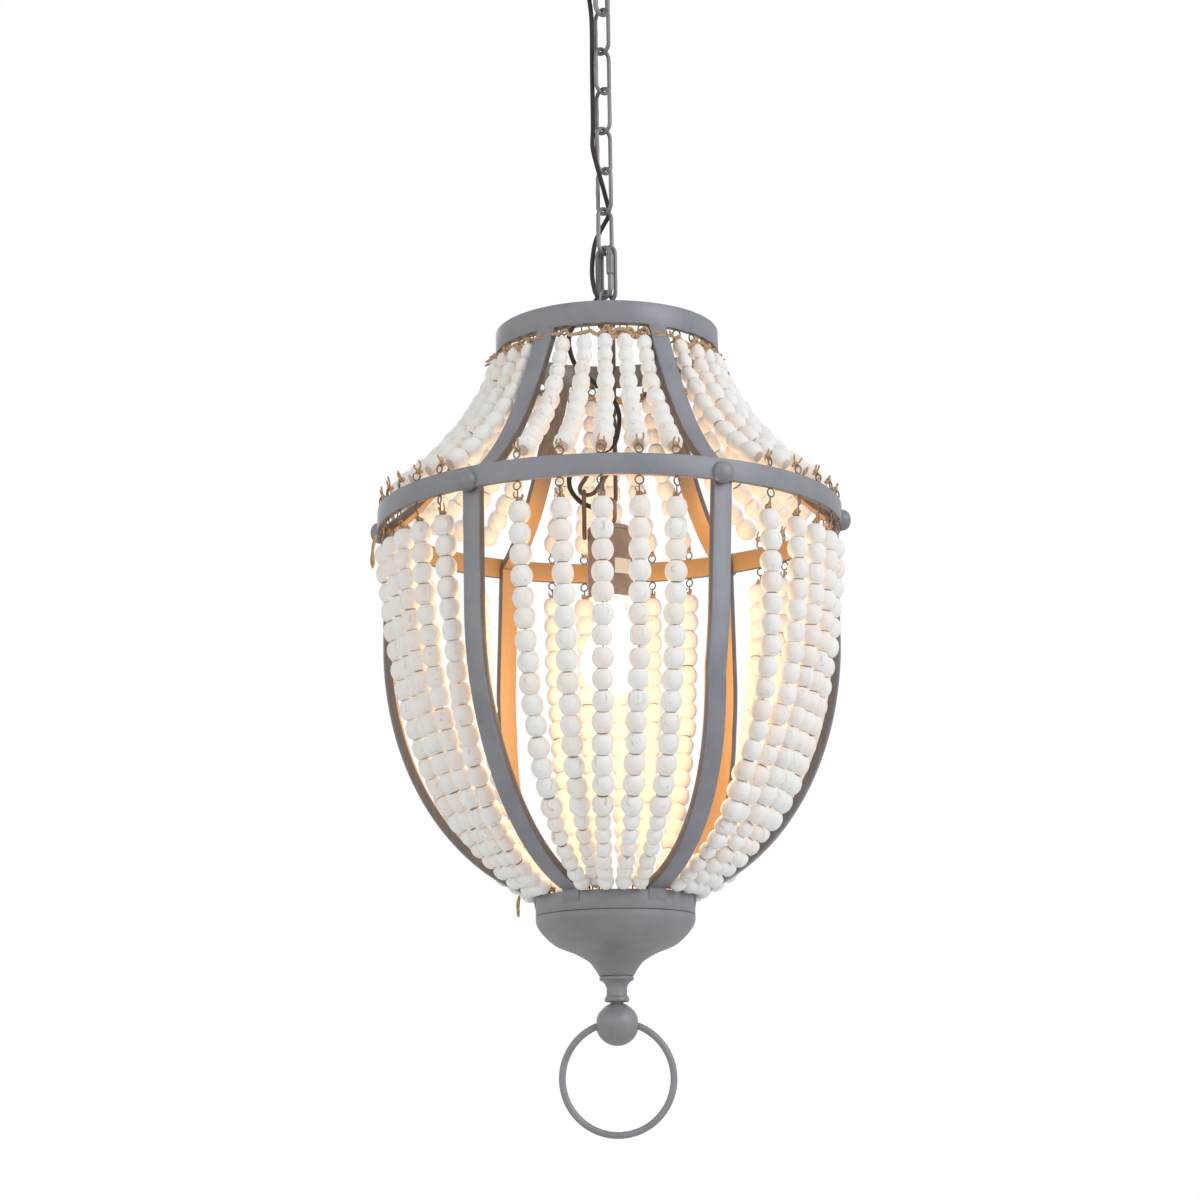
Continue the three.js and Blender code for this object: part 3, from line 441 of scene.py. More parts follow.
# Node groups and finishes


class Tree:
    """Short ways to lay nodes into a tree."""

    def __init__(self, tree: bpy.types.NodeTree) -> None:
        """Keeps the tree's nodes and links."""
        self.nodes = tree.nodes
        self.links = tree.links

    def node(self, kind: str, inputs: dict | None = None, **settings: object) -> bpy.types.Node:
        """A node with its settings and inputs: values are set, sockets are linked.

        Args:
            kind: Blender's node type.
            inputs: input name or number to a value or an output socket.
            settings: properties of the node.

        Returns:
            The node.
        """
        made = self.nodes.new(kind)
        for key, value in settings.items():
            setattr(made, key, value)
        self.feed(made, inputs or {})
        return made

    def feed(self, node: bpy.types.Node, inputs: dict) -> None:
        """Sets a node's inputs to values and links them to sockets.

        Args:
            node: the node.
            inputs: input name or number to a value or an output socket.
        """
        for key, value in inputs.items():
            if isinstance(value, bpy.types.NodeSocket):
                self.links.new(value, node.inputs[key])
            else:
                node.inputs[key].default_value = value

    def math(self, how: str, a: object, b: object = 0.0, clamp: bool = False) -> bpy.types.NodeSocket:
        """Output of a Math node."""
        return self.node("ShaderNodeMath", {0: a, 1: b}, operation=how, use_clamp=clamp).outputs[0]

    def times(self, a: object, b: object, clamp: bool = False) -> bpy.types.NodeSocket:
        """The product a b."""
        return self.math("MULTIPLY", a, b, clamp)

    def plus(self, a: object, b: object) -> bpy.types.NodeSocket:
        """The sum a + b."""
        return self.math("ADD", a, b)

    def minus(self, a: object, b: object) -> bpy.types.NodeSocket:
        """The difference a - b."""
        return self.math("SUBTRACT", a, b)

    def most(self, a: object, b: object) -> bpy.types.NodeSocket:
        """The larger of a and b."""
        return self.math("MAXIMUM", a, b)

    def mix(self, share: object, a: object, b: object) -> bpy.types.NodeSocket:
        """Output of a colour mix: a where share is 0 and b where it is 1."""
        inputs = {0: share, 6: a, 7: b}
        return self.node("ShaderNodeMix", inputs, data_type="RGBA", clamp_factor=True).outputs[2]

    def noise(self, vector: object, scale: float, detail: float, rough: float = 0.55) -> bpy.types.NodeSocket:
        """Value of a noise texture, about 0.5."""
        inputs = {"Vector": vector, "Scale": scale, "Detail": detail, "Roughness": rough}
        return self.node("ShaderNodeTexNoise", inputs).outputs[0]

    def ramp(self, value: object, low: float, high: float) -> bpy.types.NodeSocket:
        """The value stretched from low..high to 0..1, smoothly and clamped."""
        inputs = {"Value": value, "From Min": low, "From Max": high}
        return self.node("ShaderNodeMapRange", inputs, interpolation_type="SMOOTHSTEP").outputs[0]

    def scaled(self, vector: object, scale: tuple[float, float, float]) -> bpy.types.NodeSocket:
        """The vector times a scale on each axis."""
        return self.node("ShaderNodeMapping", {"Vector": vector, "Scale": scale}).outputs[0]

    def vector(self, how: str, a: object, b: object = (0, 0, 0)) -> bpy.types.bpy_prop_collection:
        """Outputs of a Vector Math node."""
        return self.node("ShaderNodeVectorMath", {0: a, 1: b}, operation=how).outputs


def surface_group(name: str, inputs: dict[str, str]) -> tuple[bpy.types.NodeTree, Tree, object]:
    """An empty node group with named inputs and the outputs Colour, Roughness and Height.

    Args:
        name: name of the group.
        inputs: name of each input to its kind: Color, Float or Vector.

    Returns:
        The group, its tree and the sockets that carry its inputs.
    """
    group = bpy.data.node_groups.new(name, "ShaderNodeTree")
    outputs = {"Colour": "Color", "Roughness": "Float", "Height": "Float"}
    for way, sockets in (("INPUT", inputs), ("OUTPUT", outputs)):
        for label, kind in sockets.items():
            group.interface.new_socket(name=label, in_out=way, socket_type=f"NodeSocket{kind}")
    tree = Tree(group)
    return group, tree, tree.node("NodeGroupInput").outputs


@lru_cache(maxsize=None)
def paint_group() -> bpy.types.NodeTree:
    """Brushed paint on iron: slow clouds of lighter and darker paint, fine grit, and a little rust showing.

    Where painted light and shade is asked for, faces that do not look outwards get painted shade, and those
    that look at the axis get painted warm lamp light up to a height, by the normal's share of the way out.

    Returns:
        The node group.
    """
    group, tree, given = surface_group("brushed_paint", {
        "Vector": "Vector", "Normal": "Vector", "Paint": "Color", "Light paint": "Color",
        "Bare iron and painted shade": "Color", "Lamp glow": "Color", "Painted light and shade": "Float", "Wear": "Float", "Roughness": "Float",
    })
    place, painted_light_and_shade = given["Vector"], given["Painted light and shade"]
    way_out = tree.vector("NORMALIZE", tree.scaled(place, (1, 1, 0)))[0]
    facing = tree.vector("DOT_PRODUCT", given["Normal"], way_out)["Value"]
    height = tree.node("ShaderNodeSeparateXYZ", {0: place}).outputs[2]
    # painted shade: on cage iron, faces that do not look outwards take the dark bare-iron colour
    edge = tree.minus(1.0, tree.ramp(facing, 0.12, 0.3))
    # painted warm lamp light: faces that look at the axis, below where the lampholder shades them
    inward = tree.minus(1.0, tree.ramp(facing, -0.45, -0.25))
    low = tree.minus(1.0, tree.ramp(height, -0.58, -0.5))
    clouds = tree.noise(place, 22, 4)
    grit = tree.noise(place, 900, 2)
    brushing = tree.noise(tree.scaled(place, (1, 1, 0.12)), 260, 3)
    spots = tree.ramp(tree.noise(place, 140, 5, 0.7), 0.64, 0.74)
    outside = tree.mix(tree.ramp(clouds, 0.35, 0.65), given["Paint"], given["Light paint"])
    side_shaded = tree.mix(tree.times(edge, painted_light_and_shade), outside, given["Bare iron and painted shade"])
    base = tree.mix(tree.times(tree.times(inward, low), painted_light_and_shade), side_shaded, given["Lamp glow"])
    streaked = tree.mix(tree.times(tree.ramp(brushing, 0.45, 0.75), 0.35), base, given["Light paint"])
    worn = tree.mix(tree.times(spots, given["Wear"]), streaked, given["Bare iron and painted shade"])
    rough = tree.plus(given["Roughness"], tree.times(tree.minus(clouds, 0.5), 0.35))
    relief = tree.plus(tree.times(grit, 0.4), tree.times(clouds, 0.6))
    chipped = tree.minus(relief, tree.times(spots, 0.3))
    tree.node("NodeGroupOutput", {"Colour": worn, "Roughness": rough, "Height": chipped})
    return group


@lru_cache(maxsize=None)
def wash_group() -> bpy.types.NodeTree:
    """Whitewash over turned wood: the wood shows in thin grain lines and worn patches,
    and shade is painted in a ring where two beads meet.

    Returns:
        The node group.
    """
    group, tree, given = surface_group("whitewash_grain", {
        "Vector": "Vector", "Shade": "Float", "Contact shade": "Float",
        "Wash": "Color", "Warm wash": "Color", "Grain and contact shade": "Color",
    })
    shade = given["Shade"]
    offset = tree.node("ShaderNodeCombineXYZ", {2: tree.times(shade, 37.0)}).outputs[0]
    place = tree.vector("ADD", given["Vector"], offset)[0]
    lines = tree.noise(tree.scaled(place, (150, 900, 1)), 1.0, 3, 0.6)
    patches = tree.noise(tree.scaled(place, (160, 160, 1)), 1.0, 2)
    specks = tree.noise(place, 700, 2)
    tint = tree.mix(tree.ramp(shade, 0.25, 0.9), given["Wash"], given["Warm wash"])
    worn = tree.times(tree.ramp(lines, 0.56, 0.72), tree.ramp(patches, 0.4, 0.62))
    dotted = tree.times(tree.ramp(specks, 0.7, 0.78), 0.5)
    surface = tree.times(tree.most(worn, dotted), 0.5)
    # painted shade: a dark ring where two beads meet, deeper on some beads than on others
    contact_shade_depth = tree.plus(tree.times(tree.ramp(shade, 0.45, 0.95), 0.6), 0.35)
    share = tree.most(surface, tree.times(tree.ramp(given["Contact shade"], 0.3, 1.0), contact_shade_depth))
    colour = tree.mix(share, tint, given["Grain and contact shade"])
    rough = tree.plus(tree.times(patches, 0.25), 0.5)
    height = tree.minus(tree.times(patches, 0.4), worn)
    tree.node("NodeGroupOutput", {"Colour": colour, "Roughness": rough, "Height": height})
    return group


@lru_cache(maxsize=None)
def twist_group() -> bpy.types.NodeTree:
    """Twisted or woven yarn: slanting ridges from the map's two directions, with stray fibres.

    Returns:
        The node group.
    """
    group, tree, given = surface_group("twisted_yarn", {
        "Map": "Vector", "Vector": "Vector", "Yarn": "Color", "Shadow": "Color",
        "Pitch": "Float", "Plies": "Float",
    })
    split = tree.node("ShaderNodeSeparateXYZ", {0: given["Map"]}).outputs
    turns = tree.plus(tree.times(split[0], given["Pitch"]), tree.times(split[1], given["Plies"]))
    ridge = tree.math("ABSOLUTE", tree.math("SINE", tree.times(turns, math.pi)))
    fibres = tree.noise(given["Vector"], 1500, 3)
    depth = tree.times(tree.ramp(ridge, 0.0, 0.8), tree.plus(fibres, 0.5), clamp=True)
    rough = tree.plus(tree.times(fibres, 0.2), 0.7)
    colour = tree.mix(depth, given["Shadow"], given["Yarn"])
    tree.node("NodeGroupOutput", {"Colour": colour, "Roughness": rough, "Height": ridge})
    return group


def new_material(name: str) -> tuple[bpy.types.Material, Tree, bpy.types.Node]:
    """An empty material with a Principled shader.

    Args:
        name: name of the material.

    Returns:
        The material, its tree and the shader.
    """
    material = bpy.data.materials.new(name)
    material.use_nodes = True
    tree = Tree(material.node_tree)
    return material, tree, tree.nodes["Principled BSDF"]


def dress_shader(tree: Tree, shader: bpy.types.Node, surface: object, strength: float,
                 distance: float) -> None:
    """Links a surface's colour, roughness and height to a shader.

    Args:
        tree: the material's tree.
        shader: its Principled shader.
        surface: outputs or sockets named Colour, Roughness and Height.
        strength: strength of the bump.
        distance: depth of the bump in metres.
    """
    bump = {"Strength": strength, "Distance": distance, "Height": surface["Height"]}
    tree.feed(shader, {
        "Base Color": surface["Colour"], "Roughness": surface["Roughness"],
        "Normal": tree.node("ShaderNodeBump", bump).outputs[0],
    })


@dataclass(frozen=True)
class PaintedIron:
    """Painted or bare iron, brushed and a little worn."""

    name: str
    paint: tuple[float, float, float]
    light: tuple[float, float, float]
    # bare iron at worn spots; on cage iron also the painted shade of faces that do not look outwards
    under: tuple[float, float, float]
    wear: float = 0.25
    roughness: float = 0.5
    metallic: float = 0.2
    # warm lamp light painted on the inner faces of cage iron
    lamp_glow: tuple[float, float, float] = (0.5, 0.295, 0.125)
    # share of painted light and shade: 1 on cage iron, 0 elsewhere
    painted_light_and_shade: float = 0.0

    @lru_cache(maxsize=None)
    def material(self) -> bpy.types.Material:
        """The material, made once.

        Returns:
            The material.
        """
        material, tree, shader = new_material(self.name)
        coordinates = tree.node("ShaderNodeTexCoord").outputs
        surface = tree.node("ShaderNodeGroup", {
            "Vector": coordinates["Object"], "Normal": coordinates["Normal"], "Paint": (*self.paint, 1),
            "Light paint": (*self.light, 1), "Bare iron and painted shade": (*self.under, 1), "Lamp glow": (*self.lamp_glow, 1),
            "Painted light and shade": self.painted_light_and_shade, "Wear": self.wear, "Roughness": self.roughness,
        }, node_tree=paint_group()).outputs
        tree.feed(shader, {"Metallic": self.metallic})
        dress_shader(tree, shader, surface, 0.25, 0.0006)
        return material


@dataclass(frozen=True)
class WashedWood:
    """Whitewashed turned wood, each bead with its own shade."""

    name: str
    wash: tuple[float, float, float]
    warm: tuple[float, float, float]
    # bare wood in the grain, also the colour of the painted shade where beads meet
    grain: tuple[float, float, float]

    @lru_cache(maxsize=None)
    def material(self) -> bpy.types.Material:
        """The material, made once.

        Returns:
            The material.
        """
        material, tree, shader = new_material(self.name)
        surface = tree.node("ShaderNodeGroup", {
            "Vector": tree.node("ShaderNodeTexCoord").outputs["Object"],
            "Shade": tree.node("ShaderNodeAttribute", attribute_name="shade").outputs["Fac"],
            "Contact shade": tree.node("ShaderNodeAttribute", attribute_name="rim").outputs["Fac"],
            "Wash": (*self.wash, 1), "Warm wash": (*self.warm, 1), "Grain and contact shade": (*self.grain, 1),
        }, node_tree=wash_group()).outputs
        dress_shader(tree, shader, surface, 0.35, 0.0008)
        return material


@dataclass(frozen=True)
class Yarn:
    """Twisted jute or woven cable cover."""

    name: str
    yarn: tuple[float, float, float]
    shadow: tuple[float, float, float]
    pitch: float
    plies: float

    @lru_cache(maxsize=None)
    def material(self) -> bpy.types.Material:
        """The material, made once.

        Returns:
            The material.
        """
        material, tree, shader = new_material(self.name)
        coordinates = tree.node("ShaderNodeTexCoord").outputs
        surface = tree.node("ShaderNodeGroup", {
            "Map": coordinates["UV"], "Vector": coordinates["Object"], "Yarn": (*self.yarn, 1),
            "Shadow": (*self.shadow, 1), "Pitch": self.pitch, "Plies": self.plies,
        }, node_tree=twist_group()).outputs
        dress_shader(tree, shader, surface, 0.6, 0.0006)
        return material


@dataclass(frozen=True)
class MattPlastic:
    """Matt moulded plastic or card, with a fine grain and a slow change of tone."""

    name: str
    colour: tuple[float, float, float]
    dusty: tuple[float, float, float]
    roughness: float = 0.6

    @lru_cache(maxsize=None)
    def material(self) -> bpy.types.Material:
        """The material, made once.

        Returns:
            The material.
        """
        material, tree, shader = new_material(self.name)
        place = tree.node("ShaderNodeTexCoord").outputs["Object"]
        clouds = tree.noise(place, 60, 3)
        surface = {
            "Colour": tree.mix(tree.ramp(clouds, 0.35, 0.7), (*self.colour, 1), (*self.dusty, 1)),
            "Roughness": tree.plus(tree.times(clouds, 0.15), self.roughness - 0.07),
            "Height": tree.noise(place, 1800, 2),
        }
        dress_shader(tree, shader, surface, 0.2, 0.0002)
        return material


@dataclass(frozen=True)
class LitGlass:
    """Glass of a lamp that is lit: it glows all over, a little paler where the haze is."""

    name: str
    glow: tuple[float, float, float]
    pale: tuple[float, float, float]
    strength: float
    roughness: float = 0.08

    @lru_cache(maxsize=None)
    def material(self) -> bpy.types.Material:
        """The material, made once.

        Returns:
            The material.
        """
        material, tree, shader = new_material(self.name)
        place = tree.node("ShaderNodeTexCoord").outputs["Object"]
        haze = tree.ramp(tree.noise(place, 35, 2), 0.3, 0.7)
        colour = tree.mix(haze, (*self.glow, 1), (*self.pale, 1))
        tree.feed(shader, {"Base Color": colour, "Emission Color": colour, "Emission Strength": self.strength,
                           "Roughness": self.roughness})
        return material


BARE_EDGE = (0.12, 0.1, 0.09)
GREY_IRON = PaintedIron("grey_painted_iron", (0.215, 0.226, 0.25), (0.262, 0.272, 0.298), BARE_EDGE)
# the grey paint made a little lighter for the cup: painted light
CUP_IRON_PAINTED_LIGHTER = PaintedIron("grey_iron_painted_lighter_on_cup", (0.228, 0.236, 0.257), (0.276, 0.283, 0.307), BARE_EDGE)
# grey paint with painted shade on faces that do not look outwards and painted warm lamp light low inside
IRON_WITH_PAINTED_LIGHT = PaintedIron("grey_iron_painted_light", (0.215, 0.226, 0.256), (0.262, 0.272, 0.302), (0.16, 0.135, 0.12),
                         painted_light_and_shade=1.0)
CHAIN_IRON = PaintedIron("chain_iron", (0.17, 0.17, 0.178), (0.24, 0.24, 0.245), (0.09, 0.08, 0.07),
                         wear=0.5, roughness=0.42, metallic=0.45)
RUSTY_IRON = PaintedIron("brown_iron", (0.1, 0.07, 0.055), (0.17, 0.12, 0.09), (0.2, 0.09, 0.04),
                         wear=0.6, metallic=0.4)
EYE_WIRE = PaintedIron("eye_wire", (0.13, 0.1, 0.085), (0.2, 0.16, 0.13), (0.2, 0.1, 0.05),
                       wear=0.5, roughness=0.4, metallic=0.5)
BEAD_WOOD = WashedWood("whitewashed_wood", (0.9, 0.91, 0.9), (0.92, 0.87, 0.83), (0.3, 0.25, 0.2))
JUTE = Yarn("jute_twine", (0.62, 0.42, 0.24), (0.22, 0.13, 0.07), pitch=420.0, plies=2.0)
FLEX_COVER = Yarn("flex_cover", (0.045, 0.034, 0.03), (0.02, 0.015, 0.013), pitch=520.0, plies=4.0)
BROWN_SHELL = MattPlastic("lampholder_brown", (0.27, 0.195, 0.16), (0.34, 0.26, 0.22))
BLANK_CARD = MattPlastic("blank_card", (0.8, 0.76, 0.7), (0.74, 0.7, 0.64), roughness=0.7)
PALE_FLOOR = MattPlastic("pale_floor", (0.82, 0.82, 0.82), (0.8, 0.8, 0.8), roughness=0.9)
LIT_GLASS = LitGlass("lit_glass", (1.0, 0.84, 0.6), (1.0, 0.93, 0.8), strength=6.0)


def dress(piece: bpy.types.Object, finish: object, slot: Slot, body: str, *nodes: str) -> bpy.types.Object:
    """Gives a piece its finish, lets it stand for CAD nodes and ride on a body.

    Args:
        piece: the piece.
        finish: its finish.
        slot: the record's material slot; not used.
        body: the CAD body that carries it.
        nodes: CAD nodes that it stands for.

    Returns:
        The piece.
    """
    piece.data.materials.append(finish.material())
    if nodes:
        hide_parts(*nodes)
    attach(piece, body)
    log.info("%s: %d faces, rides on %s", piece.name, len(piece.data.polygons), body)
    return piece


# Sub-assemblies


@dataclass
class Ceiling:
    """Spun canopy, crossbar, stem and loop at the ceiling."""

    radius: float = 60.0
    depth: float = 28.0
    wall: float = 2.0
    flat: float = 22.0
    hole: float = 5.4
    crossbar: tuple[float, float, float] = (100.0, 22.0, 3.0)
    screw: float = 2.5
    screw_offset: float = 35.0
    head_overhang: float = 2.0
    head_levels: tuple[float, float, float] = (-1.5, -0.5, 1.2)
    stem: float = 4.8
    flange: tuple[float, float] = (10.0, 3.7)
    collar: tuple[float, float] = (7.5, 12.0)
    collar_bevel: float = 0.8
    edge: float = 0.6
    loop: tuple[float, float, float] = (17.0, 33.0, 2.6)

    def canopy(self) -> bpy.types.Object:
        """Shell between two quarter curves, each a quadratic Bezier from the flat to the rim.

        Returns:
            The canopy.
        """
        t = np.linspace(0, 1, 20)[:, None]

        def quarter(flat: float, rim: float, floor: float) -> np.ndarray:
            """Curve from (flat, floor) by way of (rim, floor) to (rim, 0)."""
            ends = np.array([[flat, floor], [rim, floor], [rim, 0.0]])
            return (1 - t) ** 2 * ends[0] + 2 * t * (1 - t) * ends[1] + t**2 * ends[2]

        floor = self.wall - self.depth
        outer = quarter(self.flat, self.radius, -self.depth)
        inner = quarter(self.flat - self.wall / 2, self.radius - self.wall, floor)[::-1]
        profile = np.concatenate([[[self.hole, -self.depth]], outer, inner, [[self.hole, floor]]])
        return build_mesh("canopy_shell", [revolve(profile, 72)])

    def fitting(self) -> bpy.types.Object:
        """Crossbar, flanged stem and loop in one piece.

        Returns:
            The fitting.
        """
        length, width, thickness = self.crossbar
        path = np.linspace([-length / 2, 0, -thickness / 2], [length / 2, 0, -thickness / 2], 12)
        level = np.ones((12, 1))
        plate = sweep(path, level * BACK, level * UP, strap_section(width, thickness, self.edge))
        flange_radius, flange_height = self.flange
        collar_radius, collar_height = self.collar
        top = -self.depth - GAP
        flange_end = top - flange_height
        collar_end = flange_end - collar_height
        profile = np.array([
            [0, collar_end], [collar_radius - self.collar_bevel, collar_end],
            [collar_radius, collar_end + self.collar_bevel], [collar_radius, flange_end],
            [flange_radius - self.edge, flange_end], [flange_radius, flange_end + self.edge],
            [flange_radius, top], [self.stem, top], [self.stem, -thickness / 2], [0, -thickness / 2],
        ])
        loop = oval_wire(*self.loop, LOOP_BAR, LINK_AZIMUTH)
        low, rim, high = self.head_levels
        wide = self.screw + self.head_overhang
        head = np.array([[0, low], [wide, low], [wide, rim], [self.screw, high], [0, high]])
        places = (-self.screw_offset, self.screw_offset)
        screws = [revolve(head, 20, (x, 0, -thickness - high)) for x in places]
        return build_mesh("ceiling_fitting", [plate, revolve(profile, 40), loop, *screws])

    def build(self) -> None:
        """Makes and dresses the ceiling's pieces."""
        dress(self.canopy(), GREY_IRON, Slot.GREY_IRON, "ceiling", "ceiling_canopy")
        dress(self.fitting(), GREY_IRON, Slot.GREY_IRON, "ceiling", "ceiling_loop")


@dataclass
class Chain:
    """Six welded links, the quick link with its sleeve and the spare link beside it."""

    link: tuple[float, float, float] = (18.4, 47.3, 2.1)
    weld: float = 0.16
    quick: tuple[float, float, float] = (17.2, 51.8, 2.6)
    quick_shift: float = -2.2
    sleeve_radius: float = 4.0
    sleeve_length: float = 21.0
    sleeve_rise: float = 7.0
    sleeve_bevel: float = 0.8
    ripple: float = 0.12
    ripples: float = 9.0
    spare_height: float = 57.63
    spare_bar: float = -383.24
    spare_shift: float = 4.2

    def build(self) -> None:
        """Makes and dresses the links, the quick link, its sleeve and the spare link."""
        for number, bar in enumerate(LINK_BARS, 1):
            side = -LINK_AZIMUTH if number % 2 else LINK_AZIMUTH
            piece = build_mesh(f"link_{number}", [oval_wire(*self.link, bar, side, weld=self.weld)])
            dress(piece, CHAIN_IRON, Slot.CHAIN_IRON, f"link_{number}", f"chain_link_{number}")
        loop = oval_wire(*self.quick, QUICK_BAR, -LINK_AZIMUTH, self.quick_shift)
        quick = build_mesh("quick_link_loop", [loop])
        dress(quick, CHAIN_IRON, Slot.CHAIN_IRON, "quick_link", "quick_link")
        dress(self.sleeve(), CHAIN_IRON, Slot.CHAIN_IRON, "quick_link", "quick_link_sleeve")
        width, _, wire = self.link
        spare = oval_wire(width, self.spare_height, wire, self.spare_bar, -LINK_AZIMUTH, self.spare_shift)
        dress(build_mesh("spare_link_loop", [spare]), CHAIN_IRON, Slot.CHAIN_IRON, "quick_link", "spare_link")

    def sleeve(self) -> bpy.types.Object:
        """Screw sleeve: a barrel with chamfered ends and shallow rings, on the quick link's straight.

        Returns:
            The sleeve.
        """
        half = self.sleeve_length / 2
        level = np.linspace(-half + 1, half - 1, 31)
        skin = self.sleeve_radius - self.ripple * (1 + np.cos(level / half * self.ripples * math.pi))
        body = np.stack([skin, level], -1)
        bore, lip = self.quick[2] + GAP, self.sleeve_radius - self.sleeve_bevel
        profile = np.concatenate([[[bore, -half], [lip, -half]], body, [[lip, half], [bore, half]]])
        patch = revolve(profile, 24)
        middle = QUICK_BAR + self.quick[1] / 2 + self.sleeve_rise
        place = turned_about_z(np.array([[self.quick[0] / 2, self.quick_shift, middle]]), -LINK_AZIMUTH)
        patch.points = patch.points + place
        return build_mesh("quick_link_barrel", [patch])


@dataclass
class Cage:
    """Hoop with its arch, band with its bolts, six ribs, and the hanger eye."""

    hoop_radius: float = 110.0
    hoop_wall: float = 4.0
    band_radius: float = 226.0
    band_wall: float = 4.0
    band_shown_wall: float = 6.0
    hoop_shown_wall: float = 6.0
    arch_width: float = 20.0
    arch_thickness: float = 4.0
    arch_rise: float = 20.0
    bolt_radius: float = 10.5
    bolt_height: float = 10.0
    bolt_rim: float = 0.6
    bolt_sink: float = 0.5
    bolt_shank: float = 3.0
    bolt_bevel: tuple[float, float] = (0.4, 0.5)
    bolt_dome: float = 0.8
    bolt_reach: float = 14.0
    eye: tuple[float, float, float] = (20.4, 22.2, 2.5)
    lower_eye: tuple[float, float, float] = (10.0, 10.01, 2.0)
    overlap: float = 0.4
    bevel: float = 0.6
    washer_bevel: float = 0.5
    washer: tuple[float, float] = (7.5, 3.0)
    nut: tuple[float, float] = (8.5, 5.2)
    eye_stem: float = 3.0
    rib_width: float = 18.4
    rib_thickness: float = 4.5
    rib_depth: float = 8.6
    lap: float = 4.0
    flush: float = 0.1
    belly_drop: float = 130.0
    lower_reach: float = 185.0
    rib_shares: tuple = ((0.22, 0.30), (0.42, 0.76))
    foot_steps: tuple = ((0.2, 2.0), (-0.6, 8.0))
    rib_turns: tuple = (
        (0, -1.5, -1.9, 1), (4.2, -1, 1.3, -0.8), (0, 0, 0, 0),
        (-4.5, -0.6, 0, 0), (9, 3.8, 2.1, 0), (0, 0, 0, 0),
    )
    turn_share: float = 0.49
    bolt_turns: tuple = (-1.9, 0.2, 0.0, 0.0, 0.0, 0.0)
    foot_rise: float = 3.0
    foot_sink: float = 14.0
    bolt_drop: float = 3.2
    facet_share: float = math.cos(math.pi / 36)
    collar_facet_share: float = math.cos(math.pi / 24)
    collar_radius: float = 72.5
    corner: float = 0.7

    def flat_ring(self, radius: float, wall: float, top: float, bottom: float) -> Patch:
        """A hoop of flat bar: a rounded bar section carried round the axis."""
        section = strap_section(wall, top - bottom, self.corner)
        return revolve(section + np.array([radius - wall / 2, (top + bottom) / 2]), 144)

    def hoop(self) -> bpy.types.Object:
        """Top hoop, with the arched strap: a circular arc through both of its walls.

        Returns:
            The hoop.
        """
        ring = self.flat_ring(self.hoop_radius, self.hoop_shown_wall, HOOP_TOP, HOOP_BOTTOM)
        half = (self.hoop_radius - self.hoop_wall) * self.facet_share + self.hoop_wall / 2
        bend = (half**2 + self.arch_rise**2) / (2 * self.arch_rise)
        swing = math.asin(half / bend)
        angle = np.linspace(-swing, swing, 48)
        level = np.zeros_like(angle)
        up = np.stack([np.sin(angle), level, np.cos(angle)], -1)
        centre = ARCH_TOP - self.arch_thickness / 2 - bend
        side = np.broadcast_to(BACK, up.shape)
        section = strap_section(self.arch_width, self.arch_thickness, self.corner)
        arch = sweep(bend * up + centre * UP, side, up, section)
        arch.points = turned_about_z(arch.points, FRONT_RIB_AZIMUTH + 2 * BAY_ANGLE - 90)
        return build_mesh("hoop_and_arch", [ring, arch])

    def band(self) -> bpy.types.Object:
        """Middle band of flat bar."""
        ring = self.flat_ring(self.band_radius, self.band_shown_wall, BAND_TOP, BAND_BOTTOM)
        return build_mesh("flat_band", [ring])

    def bolts(self) -> bpy.types.Object:
        """A domed bolt head with its shank at each rib.

        Returns:
            The bolts, in one piece.
        """
        patches = []
        seat = self.band_radius * self.facet_share - self.bolt_sink
        rise = np.linspace(0, math.pi / 2, 10)
        radius = self.bolt_radius * np.cos(rise) ** self.bolt_dome
        height = seat + self.bolt_rim + (self.bolt_height - self.bolt_rim) * np.sin(rise)
        tail, shank = seat - self.bolt_reach, self.bolt_shank
        inset, bevel = self.bolt_bevel
        stem = [[0, tail], [shank - inset, tail], [shank, tail + bevel], [shank, seat]]
        profile = np.concatenate([stem, [[self.bolt_radius, seat]], np.stack([radius, height], -1)])
        for number, turn in enumerate(self.bolt_turns):
            bolt = revolve(profile, 28)
            azimuth = FRONT_RIB_AZIMUTH + BAY_ANGLE * number + turn
            axes = np.stack([sideways(azimuth), UP, outward(azimuth)])
            bolt.points = bolt.points @ axes + (BOLT_HEIGHT - self.bolt_drop) * UP
            patches.append(bolt)
        return build_mesh("bolt_heads", patches)

    def rib_line(self) -> np.ndarray:
        """Rib centre line in (radius, height): flush with the hoop, a Bezier out to the band, straight, an
        ellipse in to the collar, and a short way into it.

        Returns:
            A points x 2 array.
        """
        thick = self.rib_thickness / 2
        waist = (self.band_radius - self.band_wall) * self.facet_share - GAP - thick
        head = self.hoop_radius - self.flush - thick
        foot = self.collar_radius * self.collar_facet_share + GAP + thick
        start = np.array([head, HOOP_BOTTOM])
        end = np.array([waist, BOLT_HEIGHT])
        pulls = start + (end - start) * np.array(self.rib_shares)
        upper = bezier(np.stack([start, *pulls, end]), 40)
        belly = BAND_TOP - self.belly_drop
        turn = math.acos(1 - (waist - foot) / self.lower_reach)
        depth = (belly - COLLAR_TOP - self.foot_rise) / math.sin(turn)
        angle = np.linspace(0, turn, 48)
        arc = np.stack([waist - self.lower_reach * (1 - np.cos(angle)), belly - depth * np.sin(angle)], -1)
        straight = np.stack([np.full(12, waist), np.linspace(BOLT_HEIGHT, belly, 14)[1:-1]], -1)
        steps = (*self.foot_steps, (-thick, self.foot_sink))
        sunk = [[foot + out, COLLAR_TOP - drop] for out, drop in steps]
        return np.concatenate([[[head, HOOP_BOTTOM + self.lap]], upper, straight, arc, sunk])

